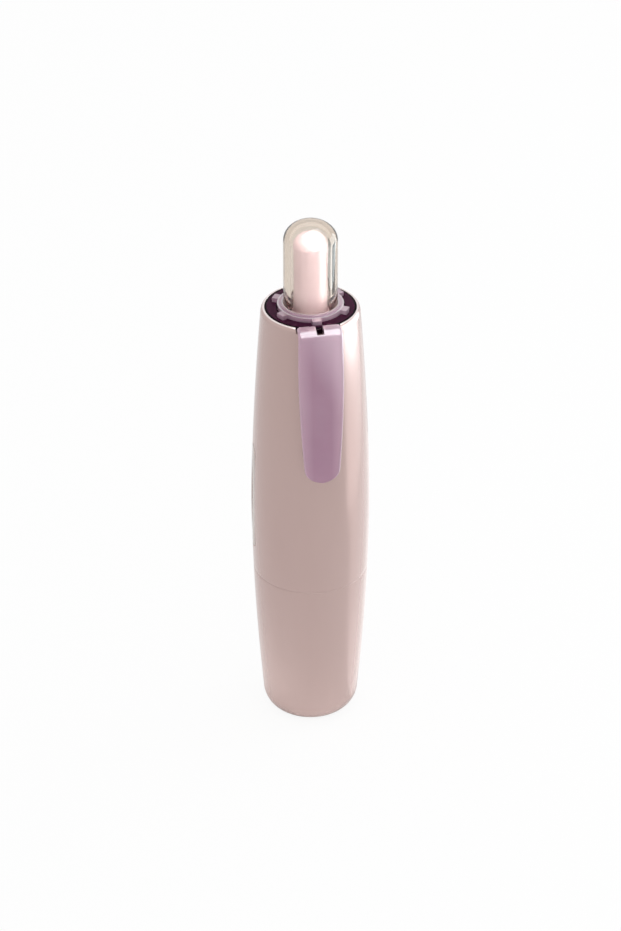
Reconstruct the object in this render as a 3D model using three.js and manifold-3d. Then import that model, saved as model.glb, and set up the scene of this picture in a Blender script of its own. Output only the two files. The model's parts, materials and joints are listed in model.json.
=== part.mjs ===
// A push-button glue tape runner in pen form, standing on its nose with the tip drawn in.
// Millimetres, +Z up, the pocket clip towards -Y. The barrel's axis is vertical, at y = AXIS_Y.

import * as THREE from "three";
import { mergeVertices } from "three/addons/utils/BufferGeometryUtils.js";
import Module from "manifold-3d";

const wasm = await Module();
wasm.setup();

// Clearances
const RUNNING_FIT = 0.15;
const PRESS_GAP = 0.1;
const SLIDE_GAP = 0.3;
const CUT_OVER = 1;

// Outer form of the body
const BODY_HEIGHT = 103;
const BODY_MAX_RADIUS = 13.05;
const BELLY_HEIGHT = 54;
const NOSE_RADIUS = 10.33;
const NOSE_TAPER = 1.9;
const RIM_RADIUS = 10.64;
const RIM_TAPER = 1.65;
const BASE_RADIUS = 7.1;
const BASE_ROUND = 4.5;
const RIM_ROUND = 1.5;
const RIM_LAND = 0.2;
const SEAM_HEIGHT = 37.5;
const SEAM_CHAMFER = 0.22;

// Shell walls
const BARREL_WALL = 1.2;
const SOCKET_WALL = 1.3;
const NOSE_WALL = 1.4;
const NOSE_FLOOR = 2;
const SPIGOT_LENGTH = 4.5;
const SPIGOT_WALL = 0.85;
const MOUTH_WIDTH = 9;
const MOUTH_DEPTH = 7.6;
const MOUTH_CORNER = 1.6;

// Side windows
const WINDOW_SILL = 1.5;
const WINDOW_LENGTH = 26;
const WINDOW_WIDTH = 3.6;
const WINDOW_LIP = 0.9;
const WINDOW_LIP_THICKNESS = 0.5;
const WINDOW_PROUD = 0.2;

// Collar and its cam sleeve
const COLLAR_FLANGE = 3.5;
const COLLAR_RADIUS = 9.77;
const COLLAR_LEDGE = 0.3;
const SLEEVE_BORE = 7.4;
const SLEEVE_WALL = 0.5;
const LEDGE_HEIGHT = 1.5;
const SPLINES = 6;
const SPLINE_WIDTH = 2;
const SPLINE_REACH = 8.45;
const SPLINE_GAP = 0.2;
const SAW_RISE = 1.4;

// Plunger, button and rotor
const PLUNGER_PROUD = 0.85;
const PLUNGER_DISH = 2.85;
const PLUNGER_RIM_HEIGHT = 0.35;
const PLUNGER_RIM_WALL = 0.6;
const PLUNGER_LENGTH = 10.45;
const PLUNGER_SPLINE = 7.85;
const PLUNGER_BORE = 5.2;
const PLUNGER_WEB = 1.2;
const CROWN_TEETH = 12;
const CROWN_RISE = 1.3;
const DOME_SOCKET = 1.05;
const DOME_RADIUS = 5.8;
const DOME_HEIGHT = 20.4;
const DOME_CROWN = 4.3;
const DOME_WALL = 1.5;
const CORE_RADIUS = 3.65;
const CORE_FOOT = 1.2;
const CORE_CROWN = 2.6;
const CORE_HEADROOM = 1.3;
const ROTOR_LENGTH = 6;
const ROTOR_HUB_WALL = 1.7;
const STEM_PIN_RADIUS = 2.9;
const STEM_PIN_LENGTH = 4.6;
const STEM_WEB = 1.6;
const STEM_REACH = 4.2;
const STEM_DISC = 1.5;
const STROKE = 13;
const LATCH_CLEARANCE = 1;

// Pocket clip
const CLIP_RISE = 0.6;
const CLIP_LENGTH = 35.6;
const CLIP_THICKNESS = 1.5;
const CLIP_ROOT_WIDTH = 9.3;
const CLIP_WIDTH = 9.8;
const CLIP_END_WIDTH = 7.3;
const CLIP_WIDEST = 0.33;
const CLIP_WIDTH_TAPER = 1.7;
const CLIP_END_ROUND = 3.1;
const CLIP_END_CURVE = 2.4;
const CLIP_TIP_SHARE = 0.19;
const CLIP_EDGE_SHARE = 0.45;
const CLIP_STAND = 0.96;
const CLIP_SPLAY = 2.6;
const CLIP_BEND = 1.8;
const CLIP_NOTCH = 1.6;
const CLIP_NOTCH_WEB = 0.6;
const CLIP_LEG_DEPTH = 1.6;
const CLIP_LEG_WIDTH = 2.2;

// Tape cartridge
const TAPE_WIDTH = 4.9;
const TAPE_THICKNESS = 0.28;
const TOOTH_MODULE = 0.75;
const SUPPLY_TEETH = 24;
const TAKEUP_TEETH = 12;
const GEAR_THICKNESS = 1.2;
const GEAR_BACKLASH = 0.26;
const PRESSURE_ANGLE = Math.PI / 9;
const TOOTH_DEDENDUM = 1.25;
const TOOTH_ADDENDUM = 0.9;
const PLATE_THICKNESS = 1;
const PLATE_HALF_WIDTH = 8.4;
const PLATE_FOOT_HALF_WIDTH = 6.3;
const PLATE_FOOT_CORNER = 2.1;
const PLATE_SPOKES = 3;
const PLATE_SPOKE_ANGLE = Math.PI / 9;
const SUPPLY_AXLE = 1.6;
const TAKEUP_AXLE = 1.3;
const SUPPLY_HUB = 3.3;
const CLUTCH_WALL = 0.7;
const CORE_WALL = 1.15;
const SUPPLY_ROLL = 8.6;
const TAKEUP_CORE = 3.2;
const TAKEUP_ROLL = 4.2;
const FLANGE_PLAY = 0.85;
const FLANGE_THICKNESS = 1.5;
const GUIDE_POST = 1.1;
const GUIDE_ROOT = 1.65;
const FRONT_GUIDE_Y = -4.6;
const FRONT_GUIDE_RISE = 6;
const REAR_GUIDE_Y = 3.2;
const REAR_GUIDE_RISE = 8;
const TAKEUP_RISE = 19.5;
const HEAD_LENGTH = 20.9;
const HEAD_FOOT = 1.5;
const HEAD_CHEEK = 0.9;
const HEAD_NOSE = 0.7;
const HEAD_BARE_TIP = 6.2;
const TIP_RECESS = 0.6;

// Return spring
const SPRING_RADIUS = 8;
const SPRING_WIRE = 0.8;
const SPRING_TURN_COUNT = 6.5;
const SPRING_SQUEEZE_SHARE = 0.5;
const SPRING_STEPS = 8;
const SPRING_SIDES = 5;
const SPRING_SAMPLES = 400;

// Barrel ribs that keep the cartridge from turning
const GUIDE_RIB_OFFSET = 5.5;
const GUIDE_RIB_THICKNESS = 1;

// Facets
const SHELL_SIDES = 48;
const ROUND_SIDES = 32;
const POST_SIDES = 16;
const HOLE_SIDES = 12;
const ARC_STEPS = 5;
const CLIP_BLADE_STEPS = 7;
const PROFILE_STEP = 5.6;
const MERGE_DISTANCE = 1e-4;

// Derived heights, from the top down
const COLLAR_SEAT = BODY_HEIGHT - COLLAR_FLANGE;
const CLIP_TOP = BODY_HEIGHT + CLIP_RISE;
const CLIP_UNDER = CLIP_TOP - CLIP_THICKNESS;
const CLIP_MIDDLE = CLIP_TOP - CLIP_THICKNESS / 2;
const CLIP_LEG_BOTTOM = BODY_HEIGHT - CLIP_LEG_DEPTH;
const PLUNGER_TOP = BODY_HEIGHT + PLUNGER_PROUD;
const CROWN_TIP = PLUNGER_TOP - PLUNGER_LENGTH;
const ROTOR_TOP = CROWN_TIP - RUNNING_FIT;
const ROTOR_BOTTOM = ROTOR_TOP - ROTOR_LENGTH;
const SLEEVE_END = ROTOR_TOP - STROKE + LATCH_CLEARANCE;
const DOME_SEAT = PLUNGER_TOP - DOME_SOCKET;
const DOME_TOP = DOME_SEAT + DOME_HEIGHT;
const WEB_TOP = PLUNGER_TOP - PLUNGER_DISH;

// Derived heights, from the nose up
const TIP_HEIGHT = NOSE_FLOOR + TIP_RECESS;
const HEAD_TOP = TIP_HEIGHT + HEAD_LENGTH;
const FLANGE_BOTTOM = HEAD_TOP + PRESS_GAP;
const FLANGE_TOP = FLANGE_BOTTOM + FLANGE_THICKNESS;
const TAKEUP_HEIGHT = FLANGE_TOP + TAKEUP_RISE;
const SUPPLY_PITCH = (TOOTH_MODULE * SUPPLY_TEETH) / 2;
const TAKEUP_PITCH = (TOOTH_MODULE * TAKEUP_TEETH) / 2;
const SUPPLY_HEIGHT = TAKEUP_HEIGHT + SUPPLY_PITCH + TAKEUP_PITCH;
const SUPPLY_TIP = SUPPLY_PITCH + TOOTH_MODULE;
const BRIDGE_BOTTOM = SUPPLY_HEIGHT + SUPPLY_TIP + SLIDE_GAP;
const FRAME_TOP = BRIDGE_BOTTOM + FLANGE_THICKNESS;
const WINDOW_BOTTOM = SEAM_HEIGHT + SPIGOT_LENGTH + WINDOW_SILL;
const WINDOW_TOP = WINDOW_BOTTOM + WINDOW_LENGTH;

// Derived places across the cartridge, along X
const TAPE_HALF = TAPE_WIDTH / 2;
const GEAR_INNER_X = -TAPE_HALF - SLIDE_GAP;
const GEAR_OUTER_X = GEAR_INNER_X - GEAR_THICKNESS;
const FRAME_INNER_X = GEAR_OUTER_X - SLIDE_GAP;
const FRAME_OUTER_X = FRAME_INNER_X - PLATE_THICKNESS;
const COVER_INNER_X = TAPE_HALF + SLIDE_GAP;
const COVER_OUTER_X = COVER_INNER_X + PLATE_THICKNESS;

// Derived radii
const BARREL_BORE = bodyRadius(SEAM_HEIGHT) - SOCKET_WALL;
const SPIGOT_RADIUS = BARREL_BORE - RUNNING_FIT;
const NOSE_BORE = SPIGOT_RADIUS - SPIGOT_WALL;
const COLLAR_POCKET = COLLAR_RADIUS + PRESS_GAP;
const GROOVE_RADIUS = SPLINE_REACH + SPLINE_GAP;
const SLEEVE_RADIUS = GROOVE_RADIUS + SLEEVE_WALL;
const PLUNGER_RADIUS = SLEEVE_BORE - SPLINE_GAP - PRESS_GAP / 2;
const ROTOR_NECK = PLUNGER_BORE - RUNNING_FIT;
const ROTOR_BORE = STEM_PIN_RADIUS + RUNNING_FIT;
const CLIP_TOP_REACH = bodyRadius(BODY_HEIGHT) + CLIP_STAND + CLIP_THICKNESS;
const CLIP_END_REACH = CLIP_TOP_REACH + CLIP_SPLAY;
const CLIP_TAB_REACH = COLLAR_RADIUS + RUNNING_FIT;
const CLIP_LEG_REACH = SPLINE_REACH + SLIDE_GAP;
const CLIP_LEG_RADIUS = COLLAR_RADIUS - RUNNING_FIT;
const CLIP_KEY_REACH = bodyRadius(BODY_HEIGHT) - PRESS_GAP;
const CLIP_KEY_HALF = CLIP_NOTCH / 2 - RUNNING_FIT;
const FLANGE_RADIUS = bodyRadius(FLANGE_BOTTOM - STROKE) - NOSE_WALL - FLANGE_PLAY;
const CLUTCH_INNER = SUPPLY_HUB + PRESS_GAP;
const REEL_INNER = CLUTCH_INNER + CLUTCH_WALL + PRESS_GAP;
const ROLL_INNER = REEL_INNER + CORE_WALL + PRESS_GAP;
const SPRING_CLEAR = SPRING_RADIUS * Math.cos(Math.PI / SPRING_STEPS) - SPRING_WIRE / 2 - SLIDE_GAP;

// The clip reaches further forward than the barrel reaches back, so the box is centred by this shift.
const AXIS_Y = (CLIP_END_REACH - BODY_MAX_RADIUS) / 2;

const FINISHES = {
  pearlShell: { color: 0xd3b9bc, roughness: 0.34, metalness: 0.15 },
  darkCollar: { color: 0x3a1745, roughness: 0.15, metalness: 0, opacity: 0.92, transparent: true },
  lilacClear: { color: 0xa98bb4, roughness: 0.16, metalness: 0, opacity: 0.75, transparent: true },
  clearDome: { color: 0xefe9e0, roughness: 0.05, metalness: 0, opacity: 0.3, transparent: true },
  pearlCore: { color: 0xecd3d6, roughness: 0.3, metalness: 0.1 },
  whiteFrame: { color: 0xeeecef, roughness: 0.45, metalness: 0 },
  lilacGear: { color: 0xb9a3c6, roughness: 0.4, metalness: 0 },
  rubber: { color: 0x2b2a2d, roughness: 0.85, metalness: 0 },
  paperTape: { color: 0xf3f1ea, roughness: 0.7, metalness: 0 },
  springSteel: { color: 0xb8b8bc, roughness: 0.28, metalness: 1 },
};

function bodyRadius(height) {
  const lower = height < BELLY_HEIGHT;
  const span = lower ? BELLY_HEIGHT : BODY_HEIGHT - BELLY_HEIGHT;
  const endRadius = lower ? NOSE_RADIUS : RIM_RADIUS;
  const taper = lower ? NOSE_TAPER : RIM_TAPER;
  const along = Math.abs(height - BELLY_HEIGHT) / span;
  return BODY_MAX_RADIUS - (BODY_MAX_RADIUS - endRadius) * along ** taper;
}

function heightWhereRadius(radius, upper) {
  const span = upper ? BODY_HEIGHT - BELLY_HEIGHT : -BELLY_HEIGHT;
  const endRadius = upper ? RIM_RADIUS : NOSE_RADIUS;
  const taper = upper ? RIM_TAPER : NOSE_TAPER;
  const drop = (BODY_MAX_RADIUS - radius) / (BODY_MAX_RADIUS - endRadius);
  return BELLY_HEIGHT + span * drop ** (1 / taper);
}

// Solids from three.js geometry

function solid(geometry) {
  geometry.deleteAttribute("normal");
  geometry.deleteAttribute("uv");
  const merged = mergeVertices(geometry, MERGE_DISTANCE);
  const vertProperties = merged.attributes.position.array;
  const triVerts = new Uint32Array(merged.index.array);
  return new wasm.Manifold(new wasm.Mesh({ numProp: 3, vertProperties, triVerts }));
}

function turned(profile, sides) {
  const points = profile.map(([radius, height]) => new THREE.Vector2(radius, height));
  return solid(new THREE.LatheGeometry(points, sides).rotateX(Math.PI / 2));
}

function turnedRing(profile, sides) {
  return turned([...profile, profile[0]], sides);
}

function disc(radius, bottom, top, sides = ROUND_SIDES) {
  return turned([[0, bottom], [radius, bottom], [radius, top], [0, top]], sides);
}

function box(x0, x1, y0, y1, z0, z1) {
  const geometry = new THREE.BoxGeometry(x1 - x0, y1 - y0, z1 - z0);
  return solid(geometry.translate((x0 + x1) / 2, (y0 + y1) / 2, (z0 + z1) / 2));
}

function outline(points) {
  return new THREE.Shape(points.map(([u, v]) => new THREE.Vector2(u, v)));
}

function extruded(shape, depth) {
  const settings = { depth, bevelEnabled: false, curveSegments: ARC_STEPS };
  return new THREE.ExtrudeGeometry(shape, settings);
}

// A shape drawn in (y, z) that runs from x0 to x1
function across(shape, x0, x1) {
  const sideways = new THREE.Matrix4().makeBasis(
    new THREE.Vector3(0, 1, 0),
    new THREE.Vector3(0, 0, 1),
    new THREE.Vector3(1, 0, 0),
  );
  return solid(extruded(shape, x1 - x0).applyMatrix4(sideways).translate(x0, 0, 0));
}

// A shape drawn in (x, z) that runs forwards from radius r0 to r1, then turned about Z
function spoke(shape, r0, r1, turn) {
  const geometry = extruded(shape, r1 - r0).rotateX(Math.PI / 2).translate(0, -r0, 0);
  return solid(geometry.rotateZ(turn));
}

function crossPin(radius, y, z, x0, x1, sides = POST_SIDES) {
  const geometry = new THREE.CylinderGeometry(radius, radius, x1 - x0, sides).rotateZ(-Math.PI / 2);
  return solid(geometry.translate((x0 + x1) / 2, y, z));
}

function crossTube(outer, inner, y, z, x0, x1, sides = ROUND_SIDES) {
  return crossPin(outer, y, z, x0, x1, sides).subtract(
    crossPin(inner, y, z, x0 - SLIDE_GAP, x1 + SLIDE_GAP, sides),
  );
}

function around(count, make) {
  return Array.from({ length: count }, (_, index) => make((index * 2 * Math.PI) / count, index));
}

function joined(first, pieces) {
  return pieces.reduce((whole, piece) => whole.add(piece), first);
}

function cutBy(first, tools) {
  return tools.reduce((whole, tool) => whole.subtract(tool), first);
}

function rectangle(u0, u1, v0, v1) {
  return outline([[u0, v0], [u1, v0], [u1, v1], [u0, v1]]);
}

function roundedRectangle(u0, u1, v0, v1, corner) {
  const shape = new THREE.Shape();
  shape.moveTo(u0 + corner, v0);
  shape.lineTo(u1 - corner, v0);
  shape.absarc(u1 - corner, v0 + corner, corner, -Math.PI / 2, 0);
  shape.lineTo(u1, v1 - corner);
  shape.absarc(u1 - corner, v1 - corner, corner, 0, Math.PI / 2);
  shape.lineTo(u0 + corner, v1);
  shape.absarc(u0 + corner, v1 - corner, corner, Math.PI / 2, Math.PI);
  shape.lineTo(u0, v0 + corner);
  shape.absarc(u0 + corner, v0 + corner, corner, Math.PI, 1.5 * Math.PI);
  return shape;
}

// Quarter of an ellipse from (r0, z0) to (r1, z1), level at its first end where startLevel is true
function quarterRound(r0, z0, r1, z1, startLevel) {
  return Array.from({ length: ARC_STEPS + 1 }, (_, step) => {
    const angle = (step / ARC_STEPS) * (Math.PI / 2);
    const rise = startLevel ? 1 - Math.cos(angle) : Math.sin(angle);
    const spread = startLevel ? Math.sin(angle) : 1 - Math.cos(angle);
    return [r0 + (r1 - r0) * spread, z0 + (z1 - z0) * rise];
  });
}

function evenSteps(start, end, count) {
  return Array.from({ length: count + 1 }, (_, step) => start + ((end - start) * step) / count);
}

function heightsBetween(z0, z1) {
  const count = Math.max(1, Math.round(Math.abs(z1 - z0) / PROFILE_STEP));
  return evenSteps(z0, z1, count).slice(1, -1);
}

// Shells

function barrelOutside() {
  const roundStart = BODY_HEIGHT - RIM_ROUND;
  return [
    [bodyRadius(SEAM_HEIGHT) - SEAM_CHAMFER, SEAM_HEIGHT],
    [bodyRadius(SEAM_HEIGHT + SEAM_CHAMFER), SEAM_HEIGHT + SEAM_CHAMFER],
    ...heightsBetween(SEAM_HEIGHT, roundStart).map((z) => [bodyRadius(z), z]),
    ...quarterRound(bodyRadius(roundStart), roundStart, COLLAR_POCKET + RIM_LAND, BODY_HEIGHT, false),
  ];
}

function barrelInside() {
  const ledgeInner = SLEEVE_RADIUS + PRESS_GAP;
  const seat = COLLAR_SEAT - PRESS_GAP;
  const ledgeBottom = seat - LEDGE_HEIGHT;
  const boreAt = (z) => bodyRadius(z) - BARREL_WALL;
  const boreTop = heightWhereRadius(BARREL_BORE + BARREL_WALL, true);
  return [
    [COLLAR_POCKET, BODY_HEIGHT],
    [COLLAR_POCKET, seat],
    [ledgeInner, seat],
    [ledgeInner, ledgeBottom],
    [boreAt(ledgeBottom - COLLAR_LEDGE), ledgeBottom - COLLAR_LEDGE],
    ...heightsBetween(ledgeBottom, boreTop).map((z) => [boreAt(z), z]),
    [BARREL_BORE, boreTop],
    [BARREL_BORE, SEAM_HEIGHT],
  ];
}

function windowOutline(margin) {
  const half = WINDOW_WIDTH / 2 + margin;
  return roundedRectangle(-half, half, WINDOW_BOTTOM - margin, WINDOW_TOP + margin, half - PRESS_GAP);
}

function guideRib(side, plateX) {
  const bottom = SEAM_HEIGHT + SPIGOT_LENGTH + SLIDE_GAP;
  const top = ROTOR_BOTTOM - STROKE - SLIDE_GAP;
  const inner = Math.abs(plateX) + SLIDE_GAP;
  const bars = [-1, 1].map((way) => {
    const middle = way * GUIDE_RIB_OFFSET;
    const half = GUIDE_RIB_THICKNESS / 2;
    const [x0, x1] = side < 0 ? [-BODY_MAX_RADIUS, -inner] : [inner, BODY_MAX_RADIUS];
    return box(x0, x1, middle - half, middle + half, bottom, top);
  });
  const core = disc(BARREL_BORE + BARREL_WALL / 2, bottom, top, SHELL_SIDES);
  return joined(bars[0], bars.slice(1)).intersect(core);
}

function barrel() {
  const wall = turnedRing([...barrelOutside(), ...barrelInside()], SHELL_SIDES);
  const slots = [-1, 1].map((side) => {
    const reach = BODY_MAX_RADIUS + CUT_OVER;
    const [x0, x1] = side < 0 ? [-reach, 0] : [0, reach];
    return across(windowOutline(PRESS_GAP), x0, x1);
  });
  const ribbed = joined(wall, [guideRib(-1, FRAME_OUTER_X), guideRib(1, COVER_OUTER_X)]);
  return cutBy(ribbed, [...slots, rimSlot()]);
}

// Opening in the rim that the clip's root passes through
function rimSlot() {
  const half = CLIP_ROOT_WIDTH / 2 + RUNNING_FIT;
  const floor = CLIP_UNDER - RUNNING_FIT;
  return box(-half, half, -BODY_MAX_RADIUS, -COLLAR_RADIUS / 2, floor, BODY_HEIGHT + CUT_OVER);
}

function noseSleeve() {
  const seam = SEAM_HEIGHT - PRESS_GAP;
  const spigotTop = SEAM_HEIGHT + SPIGOT_LENGTH;
  const boreAt = (z) => bodyRadius(z) - NOSE_WALL;
  const boreBottom = heightWhereRadius(NOSE_BORE + NOSE_WALL, false);
  const shell = turned(
    [
      [0, 0],
      ...quarterRound(BASE_RADIUS, 0, bodyRadius(BASE_ROUND), BASE_ROUND, true),
      ...heightsBetween(BASE_ROUND, seam).map((z) => [bodyRadius(z), z]),
      [bodyRadius(seam), seam - SEAM_CHAMFER],
      [bodyRadius(seam) - SEAM_CHAMFER, seam],
      [SPIGOT_RADIUS, seam],
      [SPIGOT_RADIUS, spigotTop],
      [NOSE_BORE, spigotTop],
      [NOSE_BORE, boreBottom],
      ...heightsBetween(boreBottom, NOSE_FLOOR).map((z) => [boreAt(z), z]),
      [boreAt(NOSE_FLOOR), NOSE_FLOOR],
      [0, NOSE_FLOOR],
    ],
    SHELL_SIDES,
  );
  const seatWall = NOSE_WALL / 2;
  const springSeat = turnedRing(
    [
      [SPRING_CLEAR - seatWall, NOSE_FLOOR / 2],
      [SPRING_CLEAR, NOSE_FLOOR / 2],
      [SPRING_CLEAR, NOSE_FLOOR + SPRING_WIRE],
      [SPRING_CLEAR - seatWall, NOSE_FLOOR + SPRING_WIRE],
    ],
    SHELL_SIDES,
  );
  return shell.add(springSeat).subtract(mouth());
}

function mouth() {
  const shape = roundedRectangle(
    -MOUTH_WIDTH / 2, MOUTH_WIDTH / 2, -MOUTH_DEPTH / 2, MOUTH_DEPTH / 2, MOUTH_CORNER,
  );
  return solid(extruded(shape, 2 * NOSE_FLOOR).translate(0, 0, -NOSE_FLOOR / 2));
}

// A clear lens that fills the slot and stands a little proud, with a lip inside the wall
function windowLens(side) {
  const lipOuter = BARREL_BORE - PRESS_GAP;
  const lipInner = lipOuter - WINDOW_LIP_THICKNESS;
  const bottom = WINDOW_BOTTOM - WINDOW_LIP;
  const top = WINDOW_TOP + WINDOW_LIP;
  const face = turned(
    [
      [0, bottom],
      ...[bottom, ...heightsBetween(bottom, top), top].map((z) => [bodyRadius(z) + WINDOW_PROUD, z]),
      [0, top],
    ],
    SHELL_SIDES,
  );
  const reach = side * (BODY_MAX_RADIUS + CUT_OVER);
  const [x0, x1] = side < 0 ? [reach, 0] : [0, reach];
  const core = disc(lipInner, bottom - CUT_OVER, top + CUT_OVER, SHELL_SIDES);
  const pane = across(windowOutline(0), x0, x1).intersect(face);
  const lip = across(windowOutline(WINDOW_LIP), x0, x1).intersect(disc(lipOuter, bottom, top, SHELL_SIDES));
  return pane.add(lip).subtract(core);
}

// Collar with the splined cam sleeve

function splineShape(width, bottom, top) {
  return rectangle(-width / 2, width / 2, bottom, top);
}

function collar() {
  const body = turnedRing(
    [
      [SLEEVE_BORE, SLEEVE_END],
      [SLEEVE_RADIUS, SLEEVE_END],
      [SLEEVE_RADIUS, COLLAR_SEAT],
      [COLLAR_RADIUS, COLLAR_SEAT],
      [COLLAR_RADIUS, BODY_HEIGHT],
      [SLEEVE_BORE, BODY_HEIGHT],
    ],
    SHELL_SIDES,
  );
  const grooveWidth = SPLINE_WIDTH + 2 * SPLINE_GAP;
  const groove = splineShape(grooveWidth, SLEEVE_END - CUT_OVER, BODY_HEIGHT + CUT_OVER);
  const grooves = around(SPLINES, (turn) => spoke(groove, 0, GROOVE_RADIUS, turn));
  return cutBy(body.add(clipKey()), [...grooves, ...sawCuts(grooveWidth), ...clipSlots()]);
}

// Key that fills the notch between the clip's two prongs
function clipKey() {
  return box(-CLIP_KEY_HALF, CLIP_KEY_HALF, -CLIP_KEY_REACH, -GROOVE_RADIUS, CLIP_UNDER, BODY_HEIGHT);
}

// Two ramps on each land between the grooves: one leads into a groove, one ends at a latch
function sawCuts(grooveWidth) {
  const land = (2 * Math.PI * SLEEVE_BORE) / SPLINES - grooveWidth;
  const tooth = land / 2;
  const low = SLEEVE_END - PRESS_GAP;
  const cuts = around(SPLINES, (turn) => {
    const middle = turn + Math.PI / SPLINES;
    return [-tooth, 0].map((start) => {
      const ramp = outline([[start, low], [start + tooth, low], [start, SLEEVE_END + SAW_RISE]]);
      return spoke(ramp, SLEEVE_BORE / 2, SLEEVE_RADIUS + CUT_OVER, middle);
    });
  });
  return cuts.flat();
}

function clipLegSpan() {
  const inner = SPLINE_WIDTH / 2 + SPLINE_GAP + 2 * SLIDE_GAP;
  return [inner, inner + CLIP_LEG_WIDTH];
}

function clipSlots() {
  const [inner, outer] = clipLegSpan();
  const bottom = CLIP_LEG_BOTTOM - SLIDE_GAP;
  return [-1, 1].map((side) => {
    const [x0, x1] = [side * (inner - PRESS_GAP), side * (outer + PRESS_GAP)].sort((a, b) => a - b);
    return box(x0, x1, -COLLAR_RADIUS - CUT_OVER, -SPLINE_REACH, bottom, BODY_HEIGHT + CUT_OVER);
  });
}

// Plunger, button and rotor

function plunger() {
  const rimOuter = DOME_RADIUS + RUNNING_FIT + PLUNGER_RIM_WALL;
  const dishRadius = DOME_RADIUS + RUNNING_FIT;
  const seatBore = DOME_RADIUS - DOME_WALL + PRESS_GAP;
  const webBottom = WEB_TOP - PLUNGER_WEB;
  const rimTop = PLUNGER_TOP + PLUNGER_RIM_HEIGHT;
  const body = turned(
    [
      [0, webBottom],
      [PLUNGER_BORE, webBottom],
      [PLUNGER_BORE, CROWN_TIP],
      [PLUNGER_RADIUS, CROWN_TIP],
      [PLUNGER_RADIUS, PLUNGER_TOP],
      [rimOuter, PLUNGER_TOP],
      [rimOuter, rimTop],
      [dishRadius, rimTop],
      [dishRadius, DOME_SEAT - PRESS_GAP],
      [seatBore, DOME_SEAT - PRESS_GAP],
      [seatBore, WEB_TOP],
      [0, WEB_TOP],
    ],
    ROUND_SIDES,
  );
  const ribShape = splineShape(SPLINE_WIDTH, PLUNGER_TOP - PLUNGER_SPLINE, PLUNGER_TOP);
  const ribs = around(SPLINES, (turn) => spoke(ribShape, dishRadius + PRESS_GAP, SPLINE_REACH, turn));
  const pitch = (2 * Math.PI * PLUNGER_RADIUS) / CROWN_TEETH;
  const low = CROWN_TIP - PRESS_GAP;
  const notch = outline([[-pitch / 2, low], [pitch / 2, low], [0, CROWN_TIP + CROWN_RISE]]);
  const notchEnd = PLUNGER_RADIUS + CUT_OVER;
  const notches = around(CROWN_TEETH, (turn) => spoke(notch, PLUNGER_BORE / 2, notchEnd, turn));
  return cutBy(joined(body, ribs), notches);
}

function domeProfile(radius, bottom, top, crown) {
  return [[0, bottom], [radius, bottom], ...quarterRound(radius, top - crown, 0, top, false)];
}

function buttonDome() {
  const innerRadius = DOME_RADIUS - DOME_WALL;
  const innerTop = DOME_TOP - DOME_WALL;
  const innerCrown = DOME_CROWN - DOME_WALL / 2;
  const outside = domeProfile(DOME_RADIUS, DOME_SEAT, DOME_TOP, DOME_CROWN);
  const hollow = domeProfile(innerRadius, DOME_SEAT - CUT_OVER, innerTop, innerCrown);
  return turned(outside, ROUND_SIDES).subtract(turned(hollow, ROUND_SIDES));
}

function buttonCore() {
  const foot = WEB_TOP + PRESS_GAP;
  const top = DOME_TOP - DOME_WALL - CORE_HEADROOM;
  const footRadius = DOME_RADIUS - DOME_WALL - PRESS_GAP;
  const footTop = foot + CORE_FOOT;
  return turned(
    [
      [0, foot],
      [footRadius, foot],
      [footRadius, footTop],
      [CORE_RADIUS, footTop],
      ...quarterRound(CORE_RADIUS, top - CORE_CROWN, 0, top, false),
    ],
    ROUND_SIDES,
  );
}

function camRotor() {
  const hubRadius = ROTOR_BORE + ROTOR_HUB_WALL;
  const neckRadius = Math.min(hubRadius, ROTOR_NECK);
  const shoulder = ROTOR_TOP - CROWN_RISE;
  const neckTop = WEB_TOP - PLUNGER_WEB - CROWN_RISE;
  const hub = turned(
    [
      [0, ROTOR_BOTTOM],
      [hubRadius, ROTOR_BOTTOM],
      [neckRadius, shoulder],
      [neckRadius, neckTop],
      [0, neckTop],
    ],
    ROUND_SIDES,
  );
  const half = SPLINE_WIDTH / 2;
  const rib = outline([[-half, ROTOR_BOTTOM], [half, ROTOR_BOTTOM], [half, shoulder], [-half, ROTOR_TOP]]);
  const ribs = around(SPLINES, (turn) => spoke(rib, ROTOR_BORE + PRESS_GAP, SPLINE_REACH, turn));
  const bore = disc(ROTOR_BORE, ROTOR_BOTTOM - CUT_OVER, ROTOR_BOTTOM + STEM_PIN_LENGTH + RUNNING_FIT);
  return joined(hub, ribs).subtract(bore);
}

// Moulded push rod of cross section, between the cartridge and the rotor
function pushStem() {
  const foot = FRAME_TOP + PRESS_GAP;
  const seat = ROTOR_BOTTOM - PRESS_GAP;
  const footTop = foot + STEM_DISC;
  const seatBottom = seat - STEM_DISC;
  const half = STEM_WEB / 2;
  const pieces = [
    box(-STEM_REACH, STEM_REACH, -half, half, foot + STEM_DISC / 2, seat - STEM_DISC / 2),
    box(-half, half, -STEM_REACH, STEM_REACH, foot + STEM_DISC / 2, seat - STEM_DISC / 2),
    disc(STEM_REACH + half, seatBottom, seat),
    disc(STEM_PIN_RADIUS, seatBottom, ROTOR_BOTTOM + STEM_PIN_LENGTH),
    disc(SUPPLY_AXLE - RUNNING_FIT, BRIDGE_BOTTOM + PRESS_GAP, footTop, POST_SIDES),
  ];
  return joined(disc(STEM_REACH + half, foot, footTop), pieces);
}

// Tape cartridge

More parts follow.
